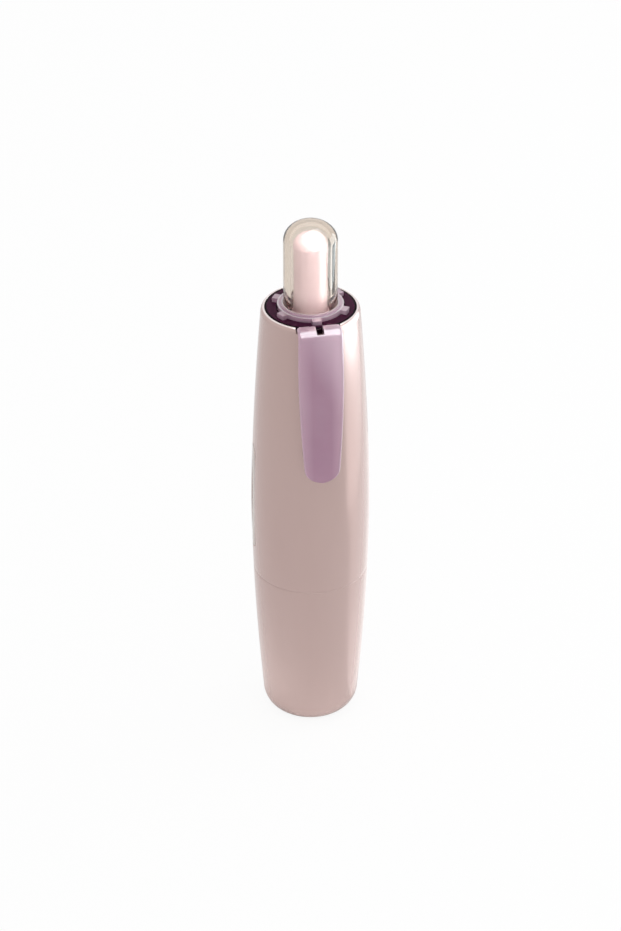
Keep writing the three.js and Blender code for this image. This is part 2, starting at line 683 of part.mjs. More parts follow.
function plateShape() {
  const corner = PLATE_FOOT_CORNER;
  const shoulder = TAKEUP_HEIGHT;
  const waist = FLANGE_TOP + FRONT_GUIDE_RISE;
  const shape = new THREE.Shape();
  shape.moveTo(-PLATE_FOOT_HALF_WIDTH, FLANGE_BOTTOM + FLANGE_THICKNESS / 2);
  shape.lineTo(PLATE_FOOT_HALF_WIDTH, FLANGE_BOTTOM + FLANGE_THICKNESS / 2);
  shape.lineTo(PLATE_FOOT_HALF_WIDTH, waist);
  shape.bezierCurveTo(
    PLATE_FOOT_HALF_WIDTH, (waist + shoulder) / 2, PLATE_HALF_WIDTH, (waist + shoulder) / 2,
    PLATE_HALF_WIDTH, shoulder,
  );
  shape.lineTo(PLATE_HALF_WIDTH, FRAME_TOP - corner);
  shape.absarc(PLATE_HALF_WIDTH - corner, FRAME_TOP - corner, corner, 0, Math.PI / 2);
  shape.lineTo(-PLATE_HALF_WIDTH + corner, FRAME_TOP);
  shape.absarc(-PLATE_HALF_WIDTH + corner, FRAME_TOP - corner, corner, Math.PI / 2, Math.PI);
  shape.lineTo(-PLATE_HALF_WIDTH, shoulder);
  shape.bezierCurveTo(
    -PLATE_HALF_WIDTH, (waist + shoulder) / 2, -PLATE_FOOT_HALF_WIDTH, (waist + shoulder) / 2,
    -PLATE_FOOT_HALF_WIDTH, waist,
  );
  return shape;
}

// Three curved openings round the supply axle, which leave spokes and an eye
function spokeHoles(x0, x1) {
  const inner = SUPPLY_HUB + PLATE_THICKNESS / 2;
  const outer = PLATE_HALF_WIDTH - PLATE_THICKNESS - SLIDE_GAP;
  return around(PLATE_SPOKES, (turn) => {
    const start = turn + Math.PI / 2 + PLATE_SPOKE_ANGLE;
    const end = start + (2 * Math.PI) / PLATE_SPOKES - 2 * PLATE_SPOKE_ANGLE;
    const shape = new THREE.Shape();
    shape.absarc(0, 0, outer, start, end);
    shape.absarc(0, 0, inner, end, start, true);
    return across(shape, x0, x1).translate([0, 0, SUPPLY_HEIGHT]);
  });
}

// Opening in the flange that the tape passes through on both sides of the applicator
function tapeOpening(z0, z1) {
  const front = tapeLineY("front", FLANGE_TOP) - TAPE_THICKNESS - SLIDE_GAP;
  const back = tapeLineY("back", FLANGE_TOP) + TAPE_THICKNESS + SLIDE_GAP;
  return box(-COVER_INNER_X, COVER_INNER_X, front, back, z0, z1);
}

function postPlaces() {
  return [
    { radius: SUPPLY_AXLE, root: SUPPLY_HUB - PRESS_GAP, y: 0, z: SUPPLY_HEIGHT },
    { radius: TAKEUP_AXLE, root: TAKEUP_AXLE + PLATE_THICKNESS, y: 0, z: TAKEUP_HEIGHT },
    { radius: GUIDE_POST, root: GUIDE_ROOT, y: FRONT_GUIDE_Y, z: FLANGE_TOP + FRONT_GUIDE_RISE },
    { radius: GUIDE_POST, root: GUIDE_ROOT, y: REAR_GUIDE_Y, z: FLANGE_TOP + REAR_GUIDE_RISE },
  ];
}

function posts(x1, gap) {
  return postPlaces().map(({ radius, y, z }) => crossPin(radius + gap, y, z, FRAME_INNER_X - gap, x1));
}

// Short shoulders that root the posts in the plate and stand the gears off it
function postRoots() {
  const x0 = FRAME_OUTER_X + PLATE_THICKNESS / 2;
  const x1 = FRAME_INNER_X + SLIDE_GAP / 2;
  return postPlaces().map(({ root, y, z }) => crossPin(root, y, z, x0, x1));
}

function cartridgeFrame() {
  const plate = across(plateShape(), FRAME_OUTER_X, FRAME_INNER_X);
  const holes = spokeHoles(FRAME_OUTER_X - CUT_OVER, FRAME_INNER_X + CUT_OVER);
  const flange = disc(FLANGE_RADIUS, FLANGE_BOTTOM, FLANGE_TOP, SHELL_SIDES);
  const bridge = box(
    FRAME_OUTER_X + PLATE_THICKNESS / 2, COVER_INNER_X - PRESS_GAP,
    -STEM_REACH, STEM_REACH, BRIDGE_BOTTOM, FRAME_TOP,
  );
  const pegHole = disc(SUPPLY_AXLE, BRIDGE_BOTTOM - CUT_OVER, FRAME_TOP + CUT_OVER, POST_SIDES);
  const opened = flange.subtract(tapeOpening(FLANGE_BOTTOM - CUT_OVER, FLANGE_TOP + CUT_OVER));
  const pieces = [opened, bridge.subtract(pegHole), ...posts(COVER_OUTER_X, 0), ...postRoots()];
  return joined(cutBy(plate, holes), pieces);
}

function cartridgeCover() {
  const plate = across(plateShape(), COVER_INNER_X, COVER_OUTER_X);
  const belowPlate = box(
    0, COVER_OUTER_X + CUT_OVER, -PLATE_HALF_WIDTH - CUT_OVER, PLATE_HALF_WIDTH + CUT_OVER,
    FLANGE_BOTTOM - CUT_OVER, FLANGE_TOP + PRESS_GAP,
  );
  const holes = spokeHoles(COVER_INNER_X - CUT_OVER, COVER_OUTER_X + CUT_OVER);
  return cutBy(plate, [belowPlate, ...holes, ...posts(COVER_OUTER_X + CUT_OVER, PRESS_GAP)]);
}

// Reels and gears

function toothRing(teeth, phase) {
  const pitchRadius = (TOOTH_MODULE * teeth) / 2;
  const pitchHalf = (Math.PI * TOOTH_MODULE) / 4 - GEAR_BACKLASH / 2;
  const lean = Math.tan(PRESSURE_ANGLE);
  const levels = [-TOOTH_DEDENDUM, 0, TOOTH_ADDENDUM].map((step) => step * TOOTH_MODULE);
  const flank = levels.map((level) => {
    const radius = pitchRadius + level;
    return [radius, (pitchHalf - lean * level) / radius];
  });
  const points = [];
  for (let tooth = 0; tooth < teeth; tooth += 1) {
    const middle = phase + (tooth * 2 * Math.PI) / teeth;
    const rising = flank.map(([radius, half]) => [radius, middle - half]);
    const falling = flank.map(([radius, half]) => [radius, middle + half]).reverse();
    points.push(...rising, ...falling);
  }
  return outline(points.map(([radius, angle]) => [radius * Math.cos(angle), radius * Math.sin(angle)]));
}

function gearBore(axle, height) {
  return crossPin(axle + RUNNING_FIT, 0, height, GEAR_OUTER_X - CUT_OVER, TAPE_HALF + CUT_OVER);
}

function supplyGear() {
  const toothed = across(toothRing(SUPPLY_TEETH, 0), GEAR_OUTER_X, GEAR_INNER_X);
  const ring = toothed.translate([0, 0, SUPPLY_HEIGHT]);
  const hub = crossPin(SUPPLY_HUB, 0, SUPPLY_HEIGHT, GEAR_OUTER_X, TAPE_HALF, ROUND_SIDES);
  const bore = gearBore(SUPPLY_AXLE, SUPPLY_HEIGHT);
  const webRadius = (SUPPLY_HUB + SUPPLY_PITCH) / 2;
  const holeRadius = (SUPPLY_PITCH - SUPPLY_HUB) / 4;
  const holes = around(SPLINES, (turn) => {
    const y = webRadius * Math.cos(turn);
    const z = SUPPLY_HEIGHT + webRadius * Math.sin(turn);
    return crossPin(holeRadius, y, z, GEAR_OUTER_X - CUT_OVER, GEAR_INNER_X + CUT_OVER, HOLE_SIDES);
  });
  return cutBy(ring.add(hub), [bore, ...holes]);
}

function takeupSpool() {
  const phase = Math.PI / TAKEUP_TEETH;
  const toothed = across(toothRing(TAKEUP_TEETH, phase), GEAR_OUTER_X, GEAR_INNER_X);
  const ring = toothed.translate([0, 0, TAKEUP_HEIGHT]);
  const hub = crossPin(TAKEUP_CORE, 0, TAKEUP_HEIGHT, GEAR_OUTER_X, TAPE_HALF, ROUND_SIDES);
  return ring.add(hub).subtract(gearBore(TAKEUP_AXLE, TAKEUP_HEIGHT));
}

function reelTube(inner, wall, halfWidth) {
  return crossTube(inner + wall, inner, 0, SUPPLY_HEIGHT, -halfWidth, halfWidth);
}

// Tape path, as a belt over round guides

// Tangent from one guide to the next: a positive radius lies to the left of the way the tape runs
function tangentPoints(from, to) {
  const dy = to.y - from.y;
  const dz = to.z - from.z;
  const length = Math.hypot(dy, dz);
  const along = Math.atan2(dz, dy);
  const tilt = Math.asin((from.radius - to.radius) / length);
  const heading = along + tilt;
  const normal = [Math.sin(heading), -Math.cos(heading)];
  return {
    heading,
    start: [from.y + from.radius * normal[0], from.z + from.radius * normal[1]],
    end: [to.y + to.radius * normal[0], to.z + to.radius * normal[1]],
  };
}

function tapeGuides(offset) {
  const stand = PRESS_GAP + TAPE_THICKNESS / 2;
  return [
    { y: 0, z: SUPPLY_HEIGHT, radius: SUPPLY_ROLL + SLIDE_GAP / 2 + stand + offset },
    { y: FRONT_GUIDE_Y, z: FLANGE_TOP + FRONT_GUIDE_RISE, radius: GUIDE_POST + stand + offset },
    { y: 0, z: TIP_HEIGHT + HEAD_NOSE, radius: HEAD_NOSE + stand + offset },
    { y: REAR_GUIDE_Y, z: FLANGE_TOP + REAR_GUIDE_RISE, radius: GUIDE_POST + stand + offset },
    { y: 0, z: TAKEUP_HEIGHT, radius: -(TAKEUP_ROLL + SLIDE_GAP / 2 + stand) + offset },
  ];
}

function beltLine(guides) {
  const runs = guides.slice(1).map((guide, index) => tangentPoints(guides[index], guide));
  const points = [runs[0].start];
  runs.slice(1).forEach((run, index) => {
    const guide = guides[index + 1];
    const before = runs[index].heading;
    const turn = Math.atan2(Math.sin(run.heading - before), Math.cos(run.heading - before));
    for (let step = 0; step <= ARC_STEPS; step += 1) {
      const heading = before + (turn * step) / ARC_STEPS;
      points.push([
        guide.y + guide.radius * Math.sin(heading),
        guide.z - guide.radius * Math.cos(heading),
      ]);
    }
  });
  points.push(runs[runs.length - 1].end);
  return points;
}

function tapeLineY(face, height) {
  const guides = tapeGuides(0);
  const run = face === "front" ? tangentPoints(guides[1], guides[2]) : tangentPoints(guides[2], guides[3]);
  const share = (height - run.start[1]) / (run.end[1] - run.start[1]);
  return run.start[0] + (run.end[0] - run.start[0]) * share;
}

function tapeRun() {
  const outer = beltLine(tapeGuides(TAPE_THICKNESS / 2));
  const inner = beltLine(tapeGuides(-TAPE_THICKNESS / 2));
  return across(outline([...outer, ...inner.reverse()]), -TAPE_HALF, TAPE_HALF);
}

// Applicator: a wedge between two cheeks, under a foot ring that seats against the flange
function applicatorHead() {
  const foot = disc(SPRING_CLEAR, HEAD_TOP - HEAD_FOOT, HEAD_TOP);
  const wedgeTop = HEAD_TOP - HEAD_FOOT / 2;
  const slack = TAPE_THICKNESS / 2 + PRESS_GAP;
  const front = tapeLineY("front", wedgeTop) + slack;
  const back = tapeLineY("back", wedgeTop) - slack;
  const wedge = across(wedgeShape(front, back, wedgeTop), -COVER_INNER_X, COVER_INNER_X);
  const cheeks = [-1, 1].map((side) => {
    const faces = [side * (COVER_INNER_X - PRESS_GAP), side * (COVER_INNER_X + HEAD_CHEEK)];
    const [x0, x1] = faces.sort((a, b) => a - b);
    return across(cheekShape(wedgeTop), x0, x1);
  });
  const opening = tapeOpening(HEAD_TOP - HEAD_FOOT - CUT_OVER, HEAD_TOP + CUT_OVER);
  return joined(foot.subtract(opening), [wedge, ...cheeks]);
}

function wedgeShape(front, back, top) {
  const centre = TIP_HEIGHT + HEAD_NOSE;
  const shape = new THREE.Shape();
  shape.moveTo(back, top);
  shape.lineTo(front, top);
  shape.lineTo(-HEAD_NOSE, centre);
  shape.absarc(0, centre, HEAD_NOSE, Math.PI, 2 * Math.PI);
  return shape;
}

function cheekShape(top) {
  const low = TIP_HEIGHT + HEAD_BARE_TIP;
  const guard = TAPE_THICKNESS + SLIDE_GAP;
  return outline([
    [tapeLineY("front", top) - guard, top],
    [tapeLineY("front", low) - guard, low],
    [0, low - HEAD_NOSE],
    [tapeLineY("back", low) + guard, low],
    [tapeLineY("back", top) + guard, top],
  ]);
}

// Pocket clip: a strip swept over the rim and down the front

function clipWidthAt(share) {
  if (share < CLIP_WIDEST) {
    const back = (CLIP_WIDEST - share) / CLIP_WIDEST;
    return CLIP_WIDTH - (CLIP_WIDTH - CLIP_ROOT_WIDTH) * back ** 2;
  }
  const onward = (share - CLIP_WIDEST) / (1 - CLIP_WIDEST);
  return CLIP_WIDTH - (CLIP_WIDTH - CLIP_END_WIDTH) * onward ** CLIP_WIDTH_TAPER;
}

function clipRoundAt(distanceToEnd) {
  const share = Math.max(0, 1 - distanceToEnd / CLIP_END_ROUND);
  return Math.max(CLIP_TIP_SHARE, Math.sqrt(1 - share ** CLIP_END_CURVE));
}

function clipCentreLine() {
  const half = CLIP_THICKNESS / 2;
  const point = (reach, z) => new THREE.Vector3(0, -reach, z);
  const bendStart = point(CLIP_TOP_REACH - half - CLIP_BEND, CLIP_MIDDLE);
  const corner = point(CLIP_TOP_REACH - half, CLIP_MIDDLE);
  const bendEnd = point(CLIP_TOP_REACH - half, CLIP_MIDDLE - CLIP_BEND);
  const tip = point(CLIP_END_REACH - half, CLIP_TOP - CLIP_LENGTH);
  const path = new THREE.CurvePath();
  path.add(new THREE.LineCurve3(point(CLIP_TAB_REACH, CLIP_MIDDLE), bendStart));
  path.add(new THREE.QuadraticBezierCurve3(bendStart, corner, bendEnd));
  path.add(new THREE.LineCurve3(bendEnd, tip));
  return path;
}

// Distances along the clip at which its section is drawn, closest in the bend and the round end
function clipStations(path) {
  const [tabEnd, bendEnd, length] = path.getCurveLengths();
  const roundStart = length - CLIP_END_ROUND;
  const roundAngles = evenSteps(0, Math.PI / 2, ARC_STEPS + 1).slice(1);
  return [
    0,
    ...evenSteps(tabEnd, bendEnd, ARC_STEPS),
    ...evenSteps(bendEnd, roundStart, CLIP_BLADE_STEPS).slice(1),
    ...roundAngles.map((angle) => roundStart + CLIP_END_ROUND * Math.sin(angle)),
  ];
}

// Ring of points of a flat strip: a crowned outer face and rounded edges
function stripSection(centre, tangent, width, thickness) {
  const normal = new THREE.Vector3(0, tangent.z, -tangent.y);
  const edge = thickness * CLIP_EDGE_SHARE;
  const halfWidth = width / 2;
  const halfThickness = thickness / 2;
  const corners = [[1, -1], [1, 1], [-1, 1], [-1, -1]];
  return corners.flatMap(([sideX, sideN], index) =>
    [0, 0.5, 1].map((step) => {
      const angle = (index - 1 + step) * (Math.PI / 2);
      const x = sideX * (halfWidth - edge) + edge * Math.cos(angle);
      const n = sideN * (halfThickness - edge) + edge * Math.sin(angle);
      return new THREE.Vector3(x, 0, 0).add(centre).addScaledVector(normal, n);
    }),
  );
}

function lofted(sections) {
  const count = sections[0].length;
  const points = sections.flat();
  const faces = [];
  for (let ring = 0; ring < sections.length - 1; ring += 1) {
    for (let index = 0; index < count; index += 1) {
      const next = (index + 1) % count;
      const [a, b] = [ring * count + index, ring * count + next];
      faces.push(a, b, b + count, a, b + count, a + count);
    }
  }
  const last = (sections.length - 1) * count;
  for (let index = 1; index < count - 1; index += 1) {
    faces.push(0, index + 1, index);
    faces.push(last, last + index, last + index + 1);
  }
  const geometry = new THREE.BufferGeometry().setFromPoints(points);
  geometry.setIndex(faces);
  return solid(geometry);
}

function pocketClip() {
  const path = clipCentreLine();
  const length = path.getLength();
  const sections = clipStations(path).map((distance) => {
    const share = distance / length;
    const width = clipWidthAt(share) * clipRoundAt(length - distance);
    return stripSection(path.getPoint(share), path.getTangent(share), width, CLIP_THICKNESS);
  });
  const notch = box(
    -CLIP_NOTCH / 2, CLIP_NOTCH / 2, -CLIP_TOP_REACH + CLIP_NOTCH_WEB, 0,
    CLIP_MIDDLE - CLIP_BEND, CLIP_TOP + CUT_OVER,
  );
  return joined(lofted(sections), [...clipLegs(), clipPip()]).subtract(notch);
}

// Two short legs that hook down into the collar's slots, each on a tongue of the tab
function clipLegs() {
  const [inner, outer] = clipLegSpan();
  const round = disc(CLIP_LEG_RADIUS, CLIP_LEG_BOTTOM, BODY_HEIGHT, SHELL_SIDES);
  return [-1, 1].map((side) => {
    const [x0, x1] = [side * inner, side * outer].sort((a, b) => a - b);
    const leg = box(x0, x1, -COLLAR_RADIUS, -CLIP_LEG_REACH, CLIP_LEG_BOTTOM, BODY_HEIGHT);
    const tongue = box(x0, x1, -CLIP_TAB_REACH - SLIDE_GAP, -CLIP_LEG_REACH, CLIP_UNDER, BODY_HEIGHT);
    return leg.intersect(round).add(tongue);
  });
}

// Small grip bump inside the clip's free end
function clipPip() {
  const height = CLIP_TOP - CLIP_LENGTH + CLIP_END_ROUND + CLIP_THICKNESS;
  const share = (CLIP_TOP - height) / CLIP_LENGTH;
  const outer = CLIP_TOP_REACH + CLIP_SPLAY * share;
  const middle = outer - CLIP_THICKNESS / 2;
  const reach = middle - bodyRadius(height) - SLIDE_GAP;
  const ball = new THREE.SphereGeometry(reach, POST_SIDES, POST_SIDES / 2).translate(0, -middle, height);
  return solid(ball).subtract(box(-reach, reach, -outer - reach, -middle, height - reach, height + reach));
}

// Return spring

class SpringCurve extends THREE.Curve {
  getPoint(share, target = new THREE.Vector3()) {
    const bottom = NOSE_FLOOR + PRESS_GAP + SPRING_WIRE / 2;
    const top = FLANGE_BOTTOM - PRESS_GAP - SPRING_WIRE / 2;
    const eased = share - (SPRING_SQUEEZE_SHARE * Math.sin(2 * Math.PI * share)) / (2 * Math.PI);
    const angle = 2 * Math.PI * SPRING_TURN_COUNT * share;
    const x = SPRING_RADIUS * Math.cos(angle);
    const y = SPRING_RADIUS * Math.sin(angle);
    return target.set(x, y, bottom + (top - bottom) * eased);
  }
}

function returnSpring() {
  const shape = outline(around(SPRING_SIDES, (turn) => {
    const radius = SPRING_WIRE / 2;
    return [radius * Math.cos(turn), radius * Math.sin(turn)];
  }));
  const steps = Math.round(SPRING_TURN_COUNT * SPRING_STEPS);
  return solid(new THREE.ExtrudeGeometry(shape, { steps, extrudePath: new SpringCurve() }));
}

function leastSpringGap() {
  const curve = new SpringCurve();
  const samples = evenSteps(0, 1, SPRING_SAMPLES).map((share) => curve.getPoint(share));
  const curl = SPRING_SAMPLES / SPRING_TURN_COUNT;
  let least = Infinity;
  samples.forEach((a, i) => {
    samples.forEach((b, j) => {
      if (j - i > curl / 2) least = Math.min(least, a.distanceTo(b));
    });
  });
  return least - SPRING_WIRE;
}

// Assembly

function mesh(name, shape, finish) {
  const { vertProperties, triVerts } = shape.getMesh();
  const geometry = new THREE.BufferGeometry();
  geometry.setAttribute("position", new THREE.BufferAttribute(vertProperties, 3));
  geometry.setIndex(new THREE.BufferAttribute(triVerts, 1));
  geometry.computeVertexNormals();
  const made = new THREE.Mesh(geometry, new THREE.MeshStandardMaterial(FINISHES[finish]));
  made.name = name;
  return made;
}

function shellGroup() {
  return new THREE.Group().add(
    mesh("barrel", barrel(), "pearlShell"),
    mesh("nose_sleeve", noseSleeve(), "pearlShell"),
    mesh("collar", collar(), "darkCollar"),
    mesh("window_left", windowLens(-1), "clearDome"),
    mesh("window_right", windowLens(1), "clearDome"),
    mesh("return_spring", returnSpring(), "springSteel"),
    mesh("pocket_clip", pocketClip(), "lilacClear"),
  );
}

function buttonGroup() {
  return new THREE.Group().add(
    mesh("plunger", plunger(), "lilacClear"),
    mesh("button_core", buttonCore(), "pearlCore"),
    mesh("button_dome", buttonDome(), "clearDome"),
  );
}

function cartridgeGroup() {
  return new THREE.Group().add(
    mesh("cam_rotor", camRotor(), "whiteFrame"),
    mesh("push_stem", pushStem(), "whiteFrame"),
    mesh("cartridge_frame", cartridgeFrame(), "whiteFrame"),
    mesh("cartridge_cover", cartridgeCover(), "whiteFrame"),
    mesh("applicator_head", applicatorHead(), "lilacGear"),
    mesh("tape_run", tapeRun(), "paperTape"),
    mesh("supply_gear", supplyGear(), "lilacGear"),
    mesh("clutch_ring", reelTube(CLUTCH_INNER, CLUTCH_WALL, TAPE_HALF / 2), "rubber"),
    mesh("supply_core", reelTube(REEL_INNER, CORE_WALL, TAPE_HALF), "lilacGear"),
    mesh("tape_roll", reelTube(ROLL_INNER, SUPPLY_ROLL - ROLL_INNER, TAPE_HALF), "paperTape"),
    mesh("takeup_spool", takeupSpool(), "lilacGear"),
    mesh("takeup_roll", takeupRoll(), "paperTape"),
  );
}

function takeupRoll() {
  return crossTube(TAKEUP_ROLL, TAKEUP_CORE + PRESS_GAP, 0, TAKEUP_HEIGHT, -TAPE_HALF, TAPE_HALF);
}

console.log(`least gap between spring curls: ${leastSpringGap().toFixed(2)} mm`);

const tapeRunner = new THREE.Group().add(shellGroup(), buttonGroup(), cartridgeGroup());
tapeRunner.position.y = AXIS_Y;

export default tapeRunner;
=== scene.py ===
"""The looks of a push-button glue tape runner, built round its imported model.

Lengths are in millimetres and become metres when a mesh or an object is made.
Heights start at the floor, and the body's axis stands at x = 0 and y = AXIS_Y.
"""

import json
import math

import bpy
from mathutils import Matrix, Vector

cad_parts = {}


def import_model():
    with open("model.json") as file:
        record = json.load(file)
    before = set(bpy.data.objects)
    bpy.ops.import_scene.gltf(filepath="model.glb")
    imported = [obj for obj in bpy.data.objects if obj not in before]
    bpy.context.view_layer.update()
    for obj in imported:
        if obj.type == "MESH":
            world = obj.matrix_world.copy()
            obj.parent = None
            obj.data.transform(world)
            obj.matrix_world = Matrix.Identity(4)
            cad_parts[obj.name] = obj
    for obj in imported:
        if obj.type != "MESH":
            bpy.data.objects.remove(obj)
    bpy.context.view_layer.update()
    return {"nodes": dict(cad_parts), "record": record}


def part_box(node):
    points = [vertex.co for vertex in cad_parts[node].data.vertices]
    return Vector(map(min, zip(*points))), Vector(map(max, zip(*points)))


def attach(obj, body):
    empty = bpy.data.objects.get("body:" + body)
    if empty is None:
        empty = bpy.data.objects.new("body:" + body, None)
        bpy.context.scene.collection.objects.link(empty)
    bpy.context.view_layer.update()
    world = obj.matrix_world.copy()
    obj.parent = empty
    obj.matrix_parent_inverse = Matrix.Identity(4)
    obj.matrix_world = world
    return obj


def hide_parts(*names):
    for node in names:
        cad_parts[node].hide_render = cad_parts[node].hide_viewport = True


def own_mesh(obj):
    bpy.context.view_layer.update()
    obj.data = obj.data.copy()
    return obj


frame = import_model()

MM = 0.001
UP = Vector((0, 0, 1))


def node_box(name):
    """A node's lowest and highest corners."""
    low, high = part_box(name)
    return Vector(low) / MM, Vector(high) / MM


# Places taken from the frame
NOSE_LOW, NOSE_HIGH = node_box("nose_sleeve")
BARREL_LOW, BARREL_HIGH = node_box("barrel")
PLUNGER_LOW, PLUNGER_HIGH = node_box("plunger")
DOME_LOW, DOME_HIGH = node_box("button_dome")
CORE_LOW, CORE_HIGH = node_box("button_core")
CLIP_LOW, CLIP_HIGH = node_box("pocket_clip")
SPRING_LOW, SPRING_HIGH = node_box("return_spring")
ROLL_LOW, ROLL_HIGH = node_box("tape_roll")
COLLAR_BOTTOM = node_box("collar")[0].z

AXIS_Y = (NOSE_LOW.y + NOSE_HIGH.y) / 2
SEAM_HEIGHT = BARREL_LOW.z
BODY_HEIGHT = BARREL_HIGH.z

# Clearance of pieces that move on each other
RUNNING_FIT = 0.15

# How far a cutter reaches past what it cuts, freely and where it should only just pass it
PAST = 1
JUST_PAST = 0.1

# Outer form of the body
BODY_MAX_RADIUS = BARREL_HIGH.y - AXIS_Y
BELLY_HEIGHT = 54
NOSE_RADIUS = 10.33
NOSE_TAPER = 1.9
RIM_RADIUS = 10.64
RIM_TAPER = 1.65
RIM_ROUND = 1.5
RIM_TOP_RADIUS = 10.07
BASE_RADIUS = 7.1
BASE_ROUND = 4.5
BASE_RING_SHARE = 0.8

# Inside of the body
COLLAR_POCKET = 9.87
POCKET_EDGE = 0.05
COLLAR_SEAT = 99.5
SEAT_GAP = 0.1
LEDGE_RADIUS = 9.25
LEDGE_HEIGHT = 1.5
LEDGE_SLOPE = 0.3
BARREL_WALL = 1.2
BARREL_BEVEL = 0.1
NOSE_WALL = 1.4
NOSE_FLOOR = 2
SOCKET_WALL = 1.3
SPIGOT_WALL = 0.85
SPIGOT_EDGE = 0.3

# Seam between barrel and nose
SEAM_ROUND = 0.04
SEAM_GAP = 0.04

# Mouth, with the margins and heights of its rounded lower edge
MOUTH_WIDTH = 9
MOUTH_DEPTH = 7.6
MOUTH_CORNER = 1.2
MOUTH_EDGE = ((0.35, -0.001), (0.15, 0.12), (0, 0.35))

# Collar
COLLAR_RADIUS = 9.77
COLLAR_EDGE = 0.35
COLLAR_BEVEL = 0.09
SLEEVE_BORE = 7.4
SLEEVE_RADIUS = 9.15
SPLINES = 6
GROOVE_RADIUS = 8.65
GROOVE_WIDTH = 2.4
SAW_RISE = 1.4
KEY_BELOW_RIM = 0.02
KEY_SUNK = 0.2
HOOK_SLOT_ROOM = 0.3

# Plunger, the ring with teeth round the button
PLUNGER_RADIUS = 7.15
PLUNGER_TOP = 103.85
PLUNGER_BORE = 5.2
PLUNGER_RIM = 6.55
PLUNGER_DISH = 5.95
PLUNGER_SEAT = 102.7
PLUNGER_SEAT_BORE = 4.4
PLUNGER_WEB_TOP = 101.0
PLUNGER_WEB = 1.2
PLUNGER_BEVEL = 0.1
SPLINE_WIDTH = 2
SPLINE_REACH = 8.45
SPLINE_LENGTH = 7.85
SPLINE_BELOW_TOP = 0.01
CROWN_TEETH = 12
CROWN_RISE = 1.3
CROWN_NOTCH_SHARE = 0.95
CROWN_CUT_INNER = 3.7

# Button
DOME_WALL = 1.5
DOME_CROWN = 4.3
DOME_EDGE = 0.2
CORE_RADIUS = 3.65
CORE_CROWN = 2.6
CORE_FOOT = 1.2

# Side windows, with the steps of the pane's rounded edge: how far in, and the share of its rise
WINDOW_BOTTOM = 43.5
WINDOW_TOP = 69.5
WINDOW_WIDTH = 3.6
WINDOW_DEPTH = 1.9
WINDOW_PROUD = 0.03
WINDOW_EDGE = ((0.05, 0.5), (0.16, 0.85), (0.35, 1))
WINDOW_MIDDLE = 0.02
WINDOW_FIT = 0.1
WINDOW_FLARE = 0.18
WINDOW_FLARE_BEND = 0.4
WINDOW_CUT_OUTSIDE = 2
WINDOW_CUT_INSIDE = 4

# Pocket clip
CLIP_TOP = CLIP_HIGH.z
CLIP_THICKNESS = 1.5
CLIP_UNDER = CLIP_TOP - CLIP_THICKNESS
CLIP_ROOT_WIDTH = 9.3
CLIP_WIDTH = 9.8
CLIP_END_WIDTH = 7.3
CLIP_WIDEST = 0.33
CLIP_WIDTH_TAPER = 1.7
CLIP_END_ROUND = 3.1
CLIP_END_CURVE = 2.4
CLIP_TIP_SHARE = 0.19
CLIP_TOP_REACH = 13.1
CLIP_END_REACH = 15.7
CLIP_BEND = 1.8
CLIP_EDGE = 0.6
CLIP_EDGE_SHARE = 0.98
CLIP_BEVEL = 0.15
CLIP_SLOT_FRONT = 20

# Tab, notch and key, and the two hooks in the collar's slots
CLIP_TAB_REACH = 9.92
CLIP_NOTCH = 1.6
CLIP_NOTCH_WEB = 0.6
CLIP_KEY_REACH = 10.54
CLIP_LEG_REACH = 8.75
CLIP_LEG_RADIUS = 9.62
CLIP_LEG_DEPTH = 1.6
CLIP_LEG_INNER = 1.8
CLIP_LEG_OUTER = 4.0
CLIP_LEG_SUNK = 0.3
CLIP_HOOK_BELOW_RIM = 0.05
CLIP_SLOT_GAP = 0.1
CLIP_PIP_GAP = 0.3
PIP_END_ANGLE = 80

# Shares of the tab's length at which its sections stand
TAB_STATIONS = (0, 0.3, 0.7)

# Return spring, and the way that its upper end goes
SPRING_WIRE = 0.8
SPRING_RADIUS = 8.0
SPRING_TURNS = 6.5
SPRING_END_CROWDING = 0.5

# Bands of painted highlight on the rim and the ring, and of painted shade on the collar: how far from an
# edge they start, and where they have their full colour
RIM_HIGHLIGHT_BAND = 0.15
RIM_HIGHLIGHT_FULL = 0.03
COLLAR_SHADE_BAND = 0.5
COLLAR_SHADE_FULL = 0.25
RING_HIGHLIGHT_DEPTH = 0.15
RING_HIGHLIGHT_FULL_DEPTH = 0.02
RING_HIGHLIGHT_INNER = 0.35
RING_HIGHLIGHT_INNER_FULL = 0.05
RING_HIGHLIGHT_OUTER = 0.45
RING_HIGHLIGHT_OUTER_FULL = 0.15
RING_MARGIN_INNER = 0.15
RING_MARGIN_OUTER = 0.1

# Shares of the clip's width, and heights from its top, between which painted light makes its colour paler:
# lighter long edges for the light through the thin plastic, and a painted highlight at the top
CLIP_LIT_EDGE_START = 0.2
CLIP_LIT_EDGE_FULL = 0.46
CLIP_HIGHLIGHT_BELOW = 15
CLIP_HIGHLIGHT_ABOVE = 4

# Camera, fitted to the photograph's silhouette
VIEW_AZIMUTH = -10
VIEW_ELEVATION = 33
VIEW_DISTANCE = 700
VIEW_PIVOT_HEIGHT = 50
VIEW_TILT_UP = 0.886
FOCAL_LENGTH = 121.8
SENSOR = 36

# Dark card that stands behind the object, turned to the right of the camera's line
FLAG_TURN = 38
FLAG_DISTANCE = 60
FLAG_WIDTH = 32
FLAG_LOW = 45
FLAG_HIGH = 100

# Floor, with the share of plain white in what the camera sees of it
FLOOR_REACH = 4000
FLOOR_GLOW_SHARE = 0.9

# Strength of the world for the rays that only light the object
WORLD_LEVEL = 0.9

# Heights of the lamps that lie on the floor
BOUNCE_HEIGHT = 0.5
PANEL_HEIGHT = 1

